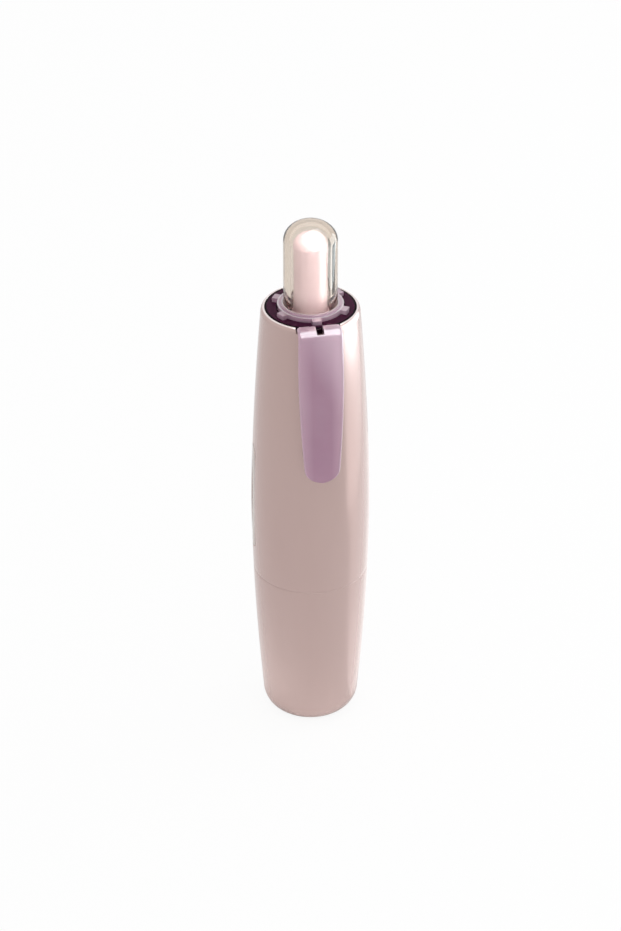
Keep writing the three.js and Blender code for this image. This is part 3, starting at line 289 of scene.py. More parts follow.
# Fineness of the meshes
TURN_SIDES = 160
RING_SIDES = 128
PIN_SIDES = 96
WIRE_SIDES = 12
PIP_SIDES = 24
PIP_STEPS = 8
PROFILE_STEP = 1.2
WALL_STEP = 2.4
PIN_STEP = 2
ARC_STEPS = 10
EDGE_STEPS = 4
CORNER_STEPS = 6
BASE_STEPS = 14
SLOT_STEPS = 16
CROWN_STEPS = 20
BLADE_STEPS = 26
BLADE_END_STEPS = 14
BLADE_END_CROWDING = 1.6
SPRING_STEPS = 400
WELD_DISTANCE = 0.002


def body_radius(height):
    """The body's outer radius, which falls from the belly to each end by a power curve."""
    lower = height < BELLY_HEIGHT
    span = BELLY_HEIGHT if lower else BODY_HEIGHT - BELLY_HEIGHT
    end_radius = NOSE_RADIUS if lower else RIM_RADIUS
    taper = NOSE_TAPER if lower else RIM_TAPER
    along = abs(height - BELLY_HEIGHT) / span
    return BODY_MAX_RADIUS - (BODY_MAX_RADIUS - end_radius) * along ** taper


BARREL_BORE = body_radius(SEAM_HEIGHT) - SOCKET_WALL
SPIGOT_RADIUS = BARREL_BORE - RUNNING_FIT
NOSE_BORE = SPIGOT_RADIUS - SPIGOT_WALL


# Outlines

def arc(centre, radius, start, end, steps=ARC_STEPS):
    """Points on an arc between two angles or, with a pair of radii, on part of an ellipse."""
    across, up = radius if isinstance(radius, tuple) else (radius, radius)
    points = []
    for step in range(steps + 1):
        angle = math.radians(start + (end - start) * step / steps)
        points.append((centre[0] + across * math.cos(angle), centre[1] + up * math.sin(angle)))
    return points


def circle_angles(count):
    """Even angles round a full circle."""
    return [2 * math.pi * index / count for index in range(count)]


def heights(low, high, step=PROFILE_STEP):
    """Even heights between two ends, without the ends."""
    count = max(2, round(abs(high - low) / step))
    return [low + (high - low) * index / count for index in range(1, count)]


def stadium(half_width, bottom, top, steps=ARC_STEPS):
    """Outline of an upright slot with round ends."""
    upper = arc((0, top - half_width), half_width, 0, 180, steps)
    lower = arc((0, bottom + half_width), half_width, 180, 360, steps)
    return upper + lower


def rounded_rectangle(half_x, half_y, round_x, round_y):
    """Outline of a rectangle about its middle, with a quarter of an ellipse at each corner."""
    outline = []
    for quarter, (side_x, side_y) in enumerate(((1, -1), (1, 1), (-1, 1), (-1, -1))):
        centre = (side_x * (half_x - round_x), side_y * (half_y - round_y))
        start = 90 * (quarter - 1)
        outline += arc(centre, (round_x, round_y), start, start + 90, CORNER_STEPS)
    return outline


def bent(start, corner, end, steps):
    """Points of a soft bend that leaves its start and reaches its end along the two sides of a corner."""
    points = []
    for step in range(steps + 1):
        share = step / steps
        points.append(start.lerp(corner, share).lerp(corner.lerp(end, share), share))
    return points


def upright(width, low, high):
    """Outline of a bar about the middle line."""
    return [(-width / 2, low), (width / 2, low), (width / 2, high), (-width / 2, high)]


# Mesh building

def new_object(name, points, faces):
    mesh = bpy.data.meshes.new(name)
    mesh.from_pydata([Vector(point) * MM for point in points], [], faces)
    mesh.validate()
    mesh.update()
    obj = bpy.data.objects.new(name, mesh)
    bpy.context.scene.collection.objects.link(obj)
    return obj


def turned(name, profile, sides=TURN_SIDES, closed=False):
    """A profile of (radius, height) turned about the body's axis."""
    points = []
    rings = []
    for radius, height in profile:
        if radius == 0:
            rings.append([len(points)])
            points.append((0, AXIS_Y, height))
            continue
        start = len(points)
        rings.append(list(range(start, start + sides)))
        for angle in circle_angles(sides):
            points.append((radius * math.cos(angle), AXIS_Y + radius * math.sin(angle), height))
    pairs = list(zip(rings, rings[1:]))
    if closed:
        pairs.append((rings[-1], rings[0]))
    faces = []
    for low, high in pairs:
        for side in range(sides):
            after = (side + 1) % sides
            lower = [low[side % len(low)], low[after % len(low)]]
            upper = [high[after % len(high)], high[side % len(high)]]
            faces.append(list(dict.fromkeys(lower + upper)))
    return new_object(name, points, faces)


def lofted(name, sections):
    """Rings of points joined in order and closed at both ends, each ring with as many points."""
    count = len(sections[0])
    points = [point for section in sections for point in section]
    faces = []
    for ring in range(len(sections) - 1):
        low = ring * count
        for index in range(count):
            after = (index + 1) % count
            faces.append([low + index, low + after, low + count + after, low + count + index])
    last = (len(sections) - 1) * count
    faces.append(list(range(count))[::-1])
    faces.append(list(range(last, last + count)))
    return new_object(name, points, faces)


def block(x0, x1, y0, y1, z0, z1):
    return lofted("block", [[(x0, y0, z), (x1, y0, z), (x1, y1, z), (x0, y1, z)] for z in (z0, z1)])


def disc(radius, low, high):
    return turned("disc", [(0, low), (radius, low), (radius, high), (0, high)], PIN_SIDES)


def spokes(count, shape, inner, outer, turn=0.0, wedge=False):
    """Prisms drawn as (across, height) that stand out from the axis; a wedge narrows towards it."""
    points = []
    faces = []
    corners = len(shape)
    for step in circle_angles(count):
        angle = turn + step - math.pi / 2
        outward = Vector((math.cos(angle), math.sin(angle), 0))
        sideways = Vector((-math.sin(angle), math.cos(angle), 0))
        start = len(points)
        for reach in (inner, outer):
            for across, height in shape:
                spread = across * (reach / outer if wedge else 1)
                points.append(outward * reach + sideways * spread + Vector((0, AXIS_Y, height)))
        faces.append([start + corner for corner in range(corners)][::-1])
        faces.append([start + corners + corner for corner in range(corners)])
        for corner in range(corners):
            after = (corner + 1) % corners
            faces.append([start + corner, start + after, start + corners + after, start + corners + corner])
    return new_object("spokes", points, faces)


def boolean(obj, tool, operation):
    """Applies the tool to the object and removes the tool."""
    modifier = obj.modifiers.new(operation.lower(), "BOOLEAN")
    modifier.operation = operation
    modifier.solver = "EXACT"
    modifier.object = tool
    evaluated = obj.evaluated_get(bpy.context.evaluated_depsgraph_get())
    mesh = bpy.data.meshes.new_from_object(evaluated)
    obj.modifiers.clear()
    obj.data = mesh
    bpy.data.objects.remove(tool)


def cut(obj, tool):
    boolean(obj, tool, "DIFFERENCE")


def join(obj, tool):
    boolean(obj, tool, "UNION")


def bevel(obj, width, segments=3, angle=35):
    modifier = obj.modifiers.new("bevel", "BEVEL")
    modifier.width = width * MM
    modifier.segments = segments
    modifier.limit_method = "ANGLE"
    modifier.angle_limit = math.radians(angle)


def smooth(obj, angle=35):
    obj.data.shade_smooth()
    obj.data.set_sharp_from_angle(angle=math.radians(angle))


# Nodes of materials and of the world

def add_node(owner, kind, sockets=None, **settings):
    """A new node in the tree of a material or world, with its settings and its sockets' values."""
    node = owner.node_tree.nodes.new(kind)
    for name, value in settings.items():
        setattr(node, name, value)
    for socket, value in (sockets or {}).items():
        node.inputs[socket].default_value = value
    return node


def link(owner, source, output, target, socket):
    owner.node_tree.links.new(source.outputs[output], target.inputs[socket])


def shader_of(material):
    return material.node_tree.nodes["Principled BSDF"]


def output_of(material):
    return material.node_tree.nodes["Material Output"]


def new_material(name, color, roughness, sockets=None):
    material = bpy.data.materials.new(name)
    material.use_nodes = True
    values = {"Base Color": (*color, 1), "Roughness": roughness, **(sockets or {})}
    for socket, value in values.items():
        shader_of(material).inputs[socket].default_value = value
    return material


def noise_node(material, scale, detail=3.0, stretch=(1, 1, 1)):
    coordinates = add_node(material, "ShaderNodeTexCoord")
    mapping = add_node(material, "ShaderNodeMapping", {"Scale": stretch})
    texture = add_node(material, "ShaderNodeTexNoise", {"Scale": scale, "Detail": detail})
    link(material, coordinates, "Object", mapping, "Vector")
    link(material, mapping, "Vector", texture, "Vector")
    return texture


def two_tone(material, first, last, start=0.0, end=1.0):
    """A ramp from one colour to another between two positions."""
    ramp = add_node(material, "ShaderNodeValToRGB")
    low, high = ramp.color_ramp.elements
    low.color = (*first, 1)
    low.position = start
    high.color = (*last, 1)
    high.position = end
    return ramp


def vary_roughness(material, texture, low, high):
    spread = add_node(material, "ShaderNodeMapRange", {"To Min": low, "To Max": high})
    link(material, texture, "Fac", spread, "Value")
    link(material, spread, "Result", shader_of(material), "Roughness")


def vary_color(material, texture, dark, light):
    ramp = two_tone(material, dark, light, start=0.3, end=0.7)
    link(material, texture, "Fac", ramp, "Fac")
    link(material, ramp, "Color", shader_of(material), "Base Color")


def add_bump(material, texture, strength, distance):
    """Bumps up to a distance in millimetres."""
    bump = add_node(material, "ShaderNodeBump", {"Strength": strength, "Distance": distance * MM})
    link(material, texture, "Fac", bump, "Height")
    link(material, bump, "Normal", shader_of(material), "Normal")


def object_axes(material):
    """Splits a place on the object into X, Y and Z."""
    coordinates = add_node(material, "ShaderNodeTexCoord")
    axes = add_node(material, "ShaderNodeSeparateXYZ")
    link(material, coordinates, "Object", axes, "Vector")
    return axes


def distance_from(material, centre, across):
    """Gives the distance from a line through a centre; across has a 1 for each axis square to the line."""
    coordinates = add_node(material, "ShaderNodeTexCoord")
    shift = add_node(material, "ShaderNodeVectorMath", {1: Vector(centre) * MM}, operation="SUBTRACT")
    flat = add_node(material, "ShaderNodeVectorMath", {1: across}, operation="MULTIPLY")
    distance = add_node(material, "ShaderNodeVectorMath", operation="LENGTH")
    link(material, coordinates, "Object", shift, 0)
    link(material, shift, "Vector", flat, 0)
    link(material, flat, "Vector", distance, 0)
    return distance


def axis_distance(material):
    """Gives the distance from the body's axis."""
    return distance_from(material, (0, AXIS_Y, 0), (1, 1, 0))


def between(material, low, high, sockets=None, shape="LINEAR"):
    """Rises from 0 to 1 between two lengths in millimetres, where the sockets name no other values."""
    ends = {"From Min": low * MM, "From Max": high * MM}
    return add_node(material, "ShaderNodeMapRange", {**ends, **(sockets or {})}, interpolation_type=shape)


def height_step(material, low, high):
    """Rises softly from 0 to 1 between two heights."""
    step = between(material, low, high, shape="SMOOTHSTEP")
    link(material, object_axes(material), "Z", step, "Value")
    return step


def paint_over(material, mask, color):
    """Mixes one more colour over what the base colour already has, by the mask's first output."""
    under = shader_of(material).inputs["Base Color"].links[0].from_socket
    mix = add_node(material, "ShaderNodeMix", {"B": (*color, 1)}, data_type="RGBA")
    material.node_tree.links.new(under, mix.inputs["A"])
    link(material, mask, 0, mix, "Factor")
    link(material, mix, "Result", shader_of(material), "Base Color")


# Materials

def pearl_shell_material():
    """Lilac-pink pearl with fine flakes, and a painted highlight: the thin pale line along the barrel's rim.
    """
    sockets = {"Metallic": 0.6, "Coat Weight": 0.35, "Coat Roughness": 0.1}
    material = new_material("pearl_shell", (0.51, 0.37, 0.345), 0.22, sockets)
    cloud = noise_node(material, scale=55, detail=2.0, stretch=(1, 1, 0.25))
    vary_color(material, cloud, dark=(0.50, 0.36, 0.335), light=(0.52, 0.38, 0.355))
    flakes = noise_node(material, scale=5200, detail=2.0)
    vary_roughness(material, flakes, low=0.18, high=0.26)
    add_bump(material, flakes, strength=0.03, distance=0.02)
    # Painted highlight: the top of the barrel's rounded rim is made pale, where light glints on it.
    rim = height_step(material, BODY_HEIGHT - RIM_HIGHLIGHT_BAND, BODY_HEIGHT - RIM_HIGHLIGHT_FULL)
    paint_over(material, rim, (0.86, 0.76, 0.75))
    return material


def dark_collar_material():
    """Deep purple, with painted shade that makes it nearly black along the outer edge, for the shadow in the
    gap to the barrel.
    """
    material = new_material("dark_collar", (0.050, 0.009, 0.030), 0.22, {"Specular IOR Level": 0.03})
    swirl = noise_node(material, scale=260)
    vary_color(material, swirl, dark=(0.042, 0.007, 0.026), light=(0.060, 0.012, 0.036))
    vary_roughness(material, noise_node(material, scale=600), low=0.16, high=0.3)
    add_bump(material, noise_node(material, scale=900, detail=2.0), strength=0.08, distance=0.02)
    # Painted shade: darkens the collar towards its outer edge, for the shadow in the gap to the barrel.
    start, full = COLLAR_RADIUS - COLLAR_SHADE_BAND, COLLAR_RADIUS - COLLAR_SHADE_FULL
    edge = between(material, start, full, shape="SMOOTHSTEP")
    link(material, axis_distance(material), "Value", edge, "Value")
    paint_over(material, edge, (0.006, 0.001, 0.004))
    return material


def ring_edge_highlights(material):
    """Marks the two upper edges of the plunger's ring for painted highlights, where clear plastic glints
    white.
    """
    inner = PLUNGER_DISH - RING_MARGIN_INNER
    outer = PLUNGER_RADIUS + RING_MARGIN_OUTER
    place = between(material, inner, outer)
    glint_bands = two_tone(material, (0, 0, 0), (0, 0, 0))
    stops = [(PLUNGER_DISH + RING_HIGHLIGHT_INNER_FULL, 1), (PLUNGER_DISH + RING_HIGHLIGHT_INNER, 0)]
    stops += [(PLUNGER_RADIUS - RING_HIGHLIGHT_OUTER, 0), (PLUNGER_RADIUS - RING_HIGHLIGHT_OUTER_FULL, 1)]
    for radius, bright in stops:
        stop = glint_bands.color_ramp.elements.new((radius - inner) / (outer - inner))
        stop.color = (bright, bright, bright, 1)
    top = height_step(material, PLUNGER_TOP - RING_HIGHLIGHT_DEPTH, PLUNGER_TOP - RING_HIGHLIGHT_FULL_DEPTH)
    both = add_node(material, "ShaderNodeMath", operation="MULTIPLY")
    link(material, axis_distance(material), "Value", place, "Value")
    link(material, place, "Result", glint_bands, "Fac")
    link(material, glint_bands, "Color", both, 0)
    link(material, top, "Result", both, 1)
    return both


def clip_lit_edges(material):
    """Rises from the clip's middle line to its two long edges, for painted light that shines through the
    thin edges, with a little cloud of random tone in it.
    """
    across = add_node(material, "ShaderNodeMath", operation="ABSOLUTE")
    edge = between(material, CLIP_WIDTH * CLIP_LIT_EDGE_START, CLIP_WIDTH * CLIP_LIT_EDGE_FULL)
    blend = add_node(material, "ShaderNodeMix", {"Factor": 0.25}, data_type="FLOAT")
    link(material, object_axes(material), "X", across, 0)
    link(material, across, "Value", edge, "Value")
    link(material, edge, "Result", blend, "A")
    link(material, noise_node(material, scale=180, detail=2.0), "Fac", blend, "B")
    return blend


def clip_top_highlight(material):
    """Rises towards the clip's upper right end, for a painted highlight where the top light falls."""
    coordinates = add_node(material, "ShaderNodeTexCoord")
    slant = add_node(material, "ShaderNodeVectorMath", {1: (2, 0, 1)}, operation="DOT_PRODUCT")
    low, high = CLIP_TOP - CLIP_HIGHLIGHT_BELOW, CLIP_TOP + CLIP_HIGHLIGHT_ABOVE
    top = between(material, low, high, {"To Max": 0.8}, "SMOOTHSTEP")
    link(material, coordinates, "Object", slant, 0)
    link(material, slant, "Value", top, "Value")
    return top


def lilac_clear_material():
    """Tinted clear plastic of the clip and the ring, with painted light: paler towards the long edges, for
    the light that shines through the thin plastic there, and painted highlights at the clip's top and on the
    ring's edges.
    """
    sockets = {"Transmission Weight": 0.35, "IOR": 1.49, "Coat Weight": 1.0, "Coat Roughness": 0.04}
    material = new_material("lilac_clear", (0.55, 0.32, 0.43), 0.14, sockets)
    # Painted light: paler towards the long edges, for the light that shines through the thin plastic there.
    tint = two_tone(material, (0.455, 0.235, 0.353), (0.64, 0.42, 0.527))
    link(material, clip_lit_edges(material), "Result", tint, "Fac")
    link(material, tint, "Color", shader_of(material), "Base Color")
    # Painted highlight: the clip's upper right end is made paler.
    paint_over(material, clip_top_highlight(material), (0.80, 0.60, 0.715))
    # Painted highlights: the ring's two upper edges are made nearly white.
    paint_over(material, ring_edge_highlights(material), (0.98, 0.90, 0.95))
    vary_roughness(material, noise_node(material, scale=700), low=0.1, high=0.2)
    add_bump(material, noise_node(material, scale=420, detail=2.0), strength=0.06, distance=0.05)
    return material


def clear_plastic_material():
    """Clear plastic, straw-coloured where it is thick, and in the side windows only half clear and pinkish,
    a painted reflection of the pearl round them.
    """
    material = new_material("clear_plastic", (1, 1, 1), 0.03, {"Transmission Weight": 1.0, "IOR": 1.42})
    vary_roughness(material, noise_node(material, scale=500), low=0.015, high=0.05)
    add_bump(material, noise_node(material, scale=160, detail=2.0), strength=0.04, distance=0.05)
    # Painted reflection: below the top of the windows the plastic is half clear and takes a pinkish colour,
    # for the pearl that shows in the windows.
    clear = between(material, WINDOW_TOP, DOME_LOW.z, {"To Min": 0.5})
    tint = two_tone(material, (0.86, 0.74, 0.70), (1, 1, 1), start=0.5)
    straw = {"Color": (0.62, 0.395, 0.156, 1), "Density": 160}
    depth = add_node(material, "ShaderNodeVolumeAbsorption", straw)
    link(material, object_axes(material), "Z", clear, "Value")
    link(material, clear, "Result", shader_of(material), "Transmission Weight")
    link(material, clear, "Result", tint, "Fac")
    link(material, tint, "Color", shader_of(material), "Base Color")
    link(material, depth, "Volume", output_of(material), "Volume")
    return material


def pearl_core_material():
    """Pinkish white pearl of the pin in the button."""
    sockets = {"Metallic": 0.3, "Coat Weight": 0.4, "Coat Roughness": 0.1}
    material = new_material("pearl_core", (0.98, 0.80, 0.88), 0.33, sockets)
    cloud = noise_node(material, scale=90, detail=2.0, stretch=(1, 1, 0.2))
    vary_color(material, cloud, dark=(0.97, 0.78, 0.86), light=(0.99, 0.82, 0.90))
    add_bump(material, noise_node(material, scale=4200, detail=2.0), strength=0.1, distance=0.02)
    return material


def moulded_material(name, color, roughness):
    """Plain moulded plastic or rubber with a fine grain."""
    material = new_material(name, color, roughness, {"Subsurface Weight": 0.05})
    shade = tuple(max(0.0, value - 0.025) for value in color)
    vary_color(material, noise_node(material, scale=140), dark=shade, light=color)
    grain = noise_node(material, scale=2400)
    vary_roughness(material, grain, low=roughness - 0.06, high=roughness + 0.08)
    add_bump(material, grain, strength=0.25, distance=0.03)
    return material


def spring_steel_material():
    """Drawn steel wire."""
    material = new_material("spring_steel", (0.62, 0.62, 0.64), 0.25, {"Metallic": 1.0})
    drawn = noise_node(material, scale=900, detail=4.0)
    vary_roughness(material, drawn, low=0.16, high=0.36)
    add_bump(material, drawn, strength=0.1, distance=0.02)
    return material


def paper_tape_material():
    """Liner with fine wound turns, drawn by the distance from the roll's axle."""
    material = new_material("paper_tape", (0.86, 0.85, 0.81), 0.6)
    axle = (0, AXIS_Y, (ROLL_LOW.z + ROLL_HIGH.z) / 2)
    turns = add_node(material, "ShaderNodeTexNoise", {"Scale": 9000, "Detail": 2}, noise_dimensions="1D")
    link(material, distance_from(material, axle, (0, 1, 1)), "Value", turns, "W")
    vary_color(material, turns, dark=(0.78, 0.76, 0.72), light=(0.90, 0.89, 0.86))
    add_bump(material, turns, strength=0.3, distance=0.03)
    return material


MATERIALS = {
    "pearl_shell": pearl_shell_material(),
    "dark_collar": dark_collar_material(),
    "lilac_clear": lilac_clear_material(),
    "clear_plastic": clear_plastic_material(),
    "pearl_core": pearl_core_material(),
    "white_plastic": moulded_material("white_plastic", (0.80, 0.79, 0.80), 0.42),
    "lilac_plastic": moulded_material("lilac_plastic", (0.44, 0.34, 0.52), 0.38),
    "clutch_rubber": moulded_material("clutch_rubber", (0.03, 0.03, 0.032), 0.75),
    "paper_tape": paper_tape_material(),
    "spring_steel": spring_steel_material(),
}


def finish_piece(obj, body, slot, node):
    """Gives a piece its material and the body that it rides on, and hides the node that it stands for."""
    obj.data.materials.clear()
    obj.data.materials.append(MATERIALS[slot])
    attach(obj, body)
    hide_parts(node)


# Shells

def slot_ring(side, margin, stand):
    """The window's outline, grown by a margin and laid as far outside the barrel as it is to stand."""
    ring = []
    half_width = WINDOW_WIDTH / 2 + margin
    for y, z in stadium(half_width, WINDOW_BOTTOM - margin, WINDOW_TOP + margin, SLOT_STEPS):
        surface = math.sqrt(body_radius(z) ** 2 - y ** 2)
        ring.append((side * (surface + stand), AXIS_Y + side * y, z))
    return ring


def window_cutter(side):
    """A slot through the wall with its outer edge broken."""
    bend = WINDOW_FLARE * WINDOW_FLARE_BEND
    levels = [(0, -WINDOW_CUT_INSIDE), (0, -WINDOW_FLARE), (bend, -bend)]
    levels += [(WINDOW_FLARE, 0), (WINDOW_FLARE, WINDOW_CUT_OUTSIDE)]
    return lofted("window_cutter", [slot_ring(side, WINDOW_FIT + margin, stand) for margin, stand in levels])


def window_lens(side, name, node):
    """A clear pane whose edge is rounded and whose face follows the barrel."""
    levels = [(0, -WINDOW_DEPTH), (0, 0)]
    levels += [(inward, WINDOW_PROUD * rise) for inward, rise in WINDOW_EDGE]
    levels.append((WINDOW_WIDTH / 2 - WINDOW_MIDDLE, WINDOW_PROUD))
    obj = lofted(name, [slot_ring(side, -inward, stand) for inward, stand in levels])
    smooth(obj, 60)
    finish_piece(obj, "shell", "clear_plastic", node)


def clip_root_slot():
    """The cutter for the gap in the rim through which the clip's tab comes out."""
    half = CLIP_ROOT_WIDTH / 2 + RUNNING_FIT
    back = AXIS_Y - COLLAR_RADIUS / 2
    return block(-half, half, -CLIP_SLOT_FRONT, back, CLIP_UNDER - RUNNING_FIT, BODY_HEIGHT + PAST)


def barrel():
    """The upper casing with its rounded rim, the collar's pocket and ledge, and its thin wall."""
    rim_start = BODY_HEIGHT - RIM_ROUND
    rim_reach = (body_radius(rim_start) - RIM_TOP_RADIUS, RIM_ROUND)
    seam_radius = body_radius(SEAM_HEIGHT) - SEAM_ROUND
    seat = COLLAR_SEAT - SEAT_GAP
    ledge_bottom = seat - LEDGE_HEIGHT
    wall = [(body_radius(z) - BARREL_WALL, z) for z in heights(ledge_bottom - LEDGE_SLOPE, SEAM_HEIGHT)]
    profile = [(BARREL_BORE, SEAM_HEIGHT), (seam_radius, SEAM_HEIGHT)]
    profile += arc((seam_radius, SEAM_HEIGHT + SEAM_ROUND), SEAM_ROUND, -90, 0, EDGE_STEPS)[1:]
    profile += [(body_radius(z), z) for z in heights(SEAM_HEIGHT + SEAM_ROUND, rim_start)]
    profile += arc((RIM_TOP_RADIUS, rim_start), rim_reach, 0, 90)
    profile += [(COLLAR_POCKET + POCKET_EDGE, BODY_HEIGHT), (COLLAR_POCKET, BODY_HEIGHT - POCKET_EDGE)]
    profile += [(COLLAR_POCKET, seat), (LEDGE_RADIUS, seat), (LEDGE_RADIUS, ledge_bottom)]
    profile += [point for point in wall if point[0] < BARREL_BORE]
    obj = turned("barrel_shell", profile, closed=True)
    for side in (-1, 1):
        cut(obj, window_cutter(side))
    cut(obj, clip_root_slot())
    bevel(obj, BARREL_BEVEL, segments=2, angle=50)
    smooth(obj)
    finish_piece(obj, "shell", "pearl_shell", "barrel")


def mouth_cutter():
    """The opening for the tip, with rounded corners and a rounded lower edge."""
    widest = MOUTH_EDGE[0][0]
    sections = []
    for margin, height in [(widest, -PAST), *MOUTH_EDGE, (0, NOSE_FLOOR + PAST)]:
        outline = rounded_rectangle(
            MOUTH_WIDTH / 2 + margin, MOUTH_DEPTH / 2 + margin, MOUTH_CORNER, MOUTH_CORNER,
        )
        sections.append([(x, AXIS_Y + y, height) for x, y in outline])
    return lofted("mouth_cutter", sections)


def nose_sleeve():
    """The lower casing with its round base, its floor and the spigot that fits the barrel."""
    seam = SEAM_HEIGHT - SEAM_GAP
    seam_radius = body_radius(seam) - SEAM_ROUND
    base_reach = (body_radius(BASE_ROUND) - BASE_RADIUS, BASE_ROUND)
    wall_heights = heights(NOSE_HIGH.z, NOSE_FLOOR, WALL_STEP)
    profile = [(0, 0), (BASE_RADIUS * BASE_RING_SHARE, 0)]
    profile += arc((BASE_RADIUS, BASE_ROUND), base_reach, -90, 0, BASE_STEPS)
    profile += [(body_radius(z), z) for z in heights(BASE_ROUND, seam - SEAM_ROUND)]
    profile += arc((seam_radius, seam - SEAM_ROUND), SEAM_ROUND, 0, 90, EDGE_STEPS)
    profile += [(SPIGOT_RADIUS, seam), (SPIGOT_RADIUS, NOSE_HIGH.z - SPIGOT_EDGE)]
    profile += [(SPIGOT_RADIUS - SPIGOT_EDGE, NOSE_HIGH.z), (NOSE_BORE, NOSE_HIGH.z)]
    profile += [(min(NOSE_BORE, body_radius(z) - NOSE_WALL), z) for z in wall_heights]
    profile += [(body_radius(NOSE_FLOOR) - NOSE_WALL, NOSE_FLOOR), (0, NOSE_FLOOR)]
    obj = turned("nose_shell", profile)
    cut(obj, mouth_cutter())
    smooth(obj)
    finish_piece(obj, "shell", "pearl_shell", "nose_sleeve")


# Collar and plunger

def collar_key():
    """The bar that fills the back of the clip's notch."""
    half = CLIP_NOTCH / 2 - RUNNING_FIT
    back = AXIS_Y - SLEEVE_RADIUS + KEY_SUNK
    return block(-half, half, AXIS_Y - CLIP_KEY_REACH, back, CLIP_UNDER, BODY_HEIGHT - KEY_BELOW_RIM)


def hook_slot(side):
    """The slot in the collar's flange that a hook of the clip stands in."""
    inner, outer = CLIP_LEG_INNER - CLIP_SLOT_GAP, CLIP_LEG_OUTER + CLIP_SLOT_GAP
    low, high = sorted((side * inner, side * outer))
    bottom = BODY_HEIGHT - CLIP_LEG_DEPTH - HOOK_SLOT_ROOM
    return block(low, high, AXIS_Y - COLLAR_RADIUS - PAST, AXIS_Y - SPLINE_REACH, bottom, BODY_HEIGHT + PAST)


def saw_cutter(start, width):
    """Slopes of the click cam under the sleeve, one between each pair of grooves."""
    bottom = COLLAR_BOTTOM - JUST_PAST
    slope = [(start, bottom), (start + width, bottom), (start, COLLAR_BOTTOM + SAW_RISE)]
    return spokes(SPLINES, slope, SLEEVE_BORE - PAST, SLEEVE_RADIUS + PAST, math.pi / SPLINES)


def collar():
    """The dark insert in the rim with its flange, and the sleeve with grooves and cam teeth."""
    flange = (COLLAR_RADIUS - COLLAR_EDGE, BODY_HEIGHT - COLLAR_EDGE)
    profile = [(SLEEVE_BORE, COLLAR_BOTTOM), (SLEEVE_RADIUS, COLLAR_BOTTOM)]
    profile += [(SLEEVE_RADIUS, COLLAR_SEAT), (COLLAR_RADIUS, COLLAR_SEAT)]
    profile += arc(flange, COLLAR_EDGE, 0, 90, CORNER_STEPS)
    profile += [(SLEEVE_BORE, BODY_HEIGHT)]
    obj = turned("collar_ring", profile, closed=True)
    join(obj, collar_key())
    groove = upright(GROOVE_WIDTH, COLLAR_BOTTOM - PAST, BODY_HEIGHT + PAST)
    cut(obj, spokes(SPLINES, groove, SLEEVE_BORE - PAST, GROOVE_RADIUS))
    tooth = math.pi * SLEEVE_BORE / SPLINES - GROOVE_WIDTH / 2
    for start in (-tooth, 0):
        cut(obj, saw_cutter(start, tooth))
    for side in (-1, 1):
        cut(obj, hook_slot(side))
    bevel(obj, COLLAR_BEVEL, segments=2, angle=40)
    smooth(obj)
    finish_piece(obj, "shell", "dark_collar", "collar")


def crown_cutter():
    """Notches between the teeth under the plunger, each wider towards the outside."""
    bottom = PLUNGER_LOW.z
    pitch = 2 * math.pi * PLUNGER_RADIUS / CROWN_TEETH
    half = pitch * CROWN_NOTCH_SHARE / 2
    notch = [(-half, bottom - JUST_PAST), (half, bottom - JUST_PAST), (0, bottom + CROWN_RISE)]
    return spokes(CROWN_TEETH, notch, CROWN_CUT_INNER, PLUNGER_RADIUS + PAST, wedge=True)


def plunger():
    """The ring round the button with its web, six splines and the crown underneath."""
    low = PLUNGER_LOW.z
    top = PLUNGER_HIGH.z
    web_low = PLUNGER_WEB_TOP - PLUNGER_WEB
    profile = [(0, web_low), (PLUNGER_BORE, web_low), (PLUNGER_BORE, low), (PLUNGER_RADIUS, low)]
    profile += [(PLUNGER_RADIUS, PLUNGER_TOP), (PLUNGER_RIM, PLUNGER_TOP), (PLUNGER_RIM, top)]
    profile += [(PLUNGER_DISH, top), (PLUNGER_DISH, PLUNGER_SEAT), (PLUNGER_SEAT_BORE, PLUNGER_SEAT)]
    profile += [(PLUNGER_SEAT_BORE, PLUNGER_WEB_TOP), (0, PLUNGER_WEB_TOP)]
    obj = turned("plunger_ring", profile, RING_SIDES)
    rib = upright(SPLINE_WIDTH, PLUNGER_TOP - SPLINE_LENGTH, PLUNGER_TOP - SPLINE_BELOW_TOP)
    join(obj, spokes(SPLINES, rib, PLUNGER_RIM, SPLINE_REACH))
    cut(obj, crown_cutter())
    bevel(obj, PLUNGER_BEVEL, angle=40)
    smooth(obj)
    finish_piece(obj, "button", "lilac_clear", "plunger")


# Button

def pin_profile(radius, bottom, top, crown):
    """Half the outline of a round pin with an elliptic crown."""
    profile = [(radius, bottom)]
    profile += [(radius, z) for z in heights(bottom, top - crown, PIN_STEP)]
    profile += arc((0, top - crown), (radius, crown), 0, 90, CROWN_STEPS)[:-1]
    return profile + [(0, top)]


def button_dome():
    """The clear hollow cap."""
    radius = (DOME_HIGH.x - DOME_LOW.x) / 2
    bottom, top = DOME_LOW.z, DOME_HIGH.z
    outer = pin_profile(radius, bottom + DOME_EDGE, top, DOME_CROWN)
    inner = pin_profile(radius - DOME_WALL, bottom, top - DOME_WALL, DOME_CROWN - DOME_WALL / 2)
    obj = turned("dome_cap", inner[::-1] + [(radius - DOME_EDGE, bottom)] + outer, PIN_SIDES)
    smooth(obj)
    finish_piece(obj, "button", "clear_plastic", "button_dome")


def button_core():
    """The pearl pin on its foot."""
    foot_radius = (CORE_HIGH.x - CORE_LOW.x) / 2
    foot_top = CORE_LOW.z + CORE_FOOT
    profile = [(0, CORE_LOW.z), (foot_radius, CORE_LOW.z), (foot_radius, foot_top)]
    profile += pin_profile(CORE_RADIUS, foot_top, CORE_HIGH.z, CORE_CROWN)
    obj = turned("core_pin", profile, PIN_SIDES)
    smooth(obj)
    finish_piece(obj, "button", "pearl_core", "button_core")


# Pocket clip

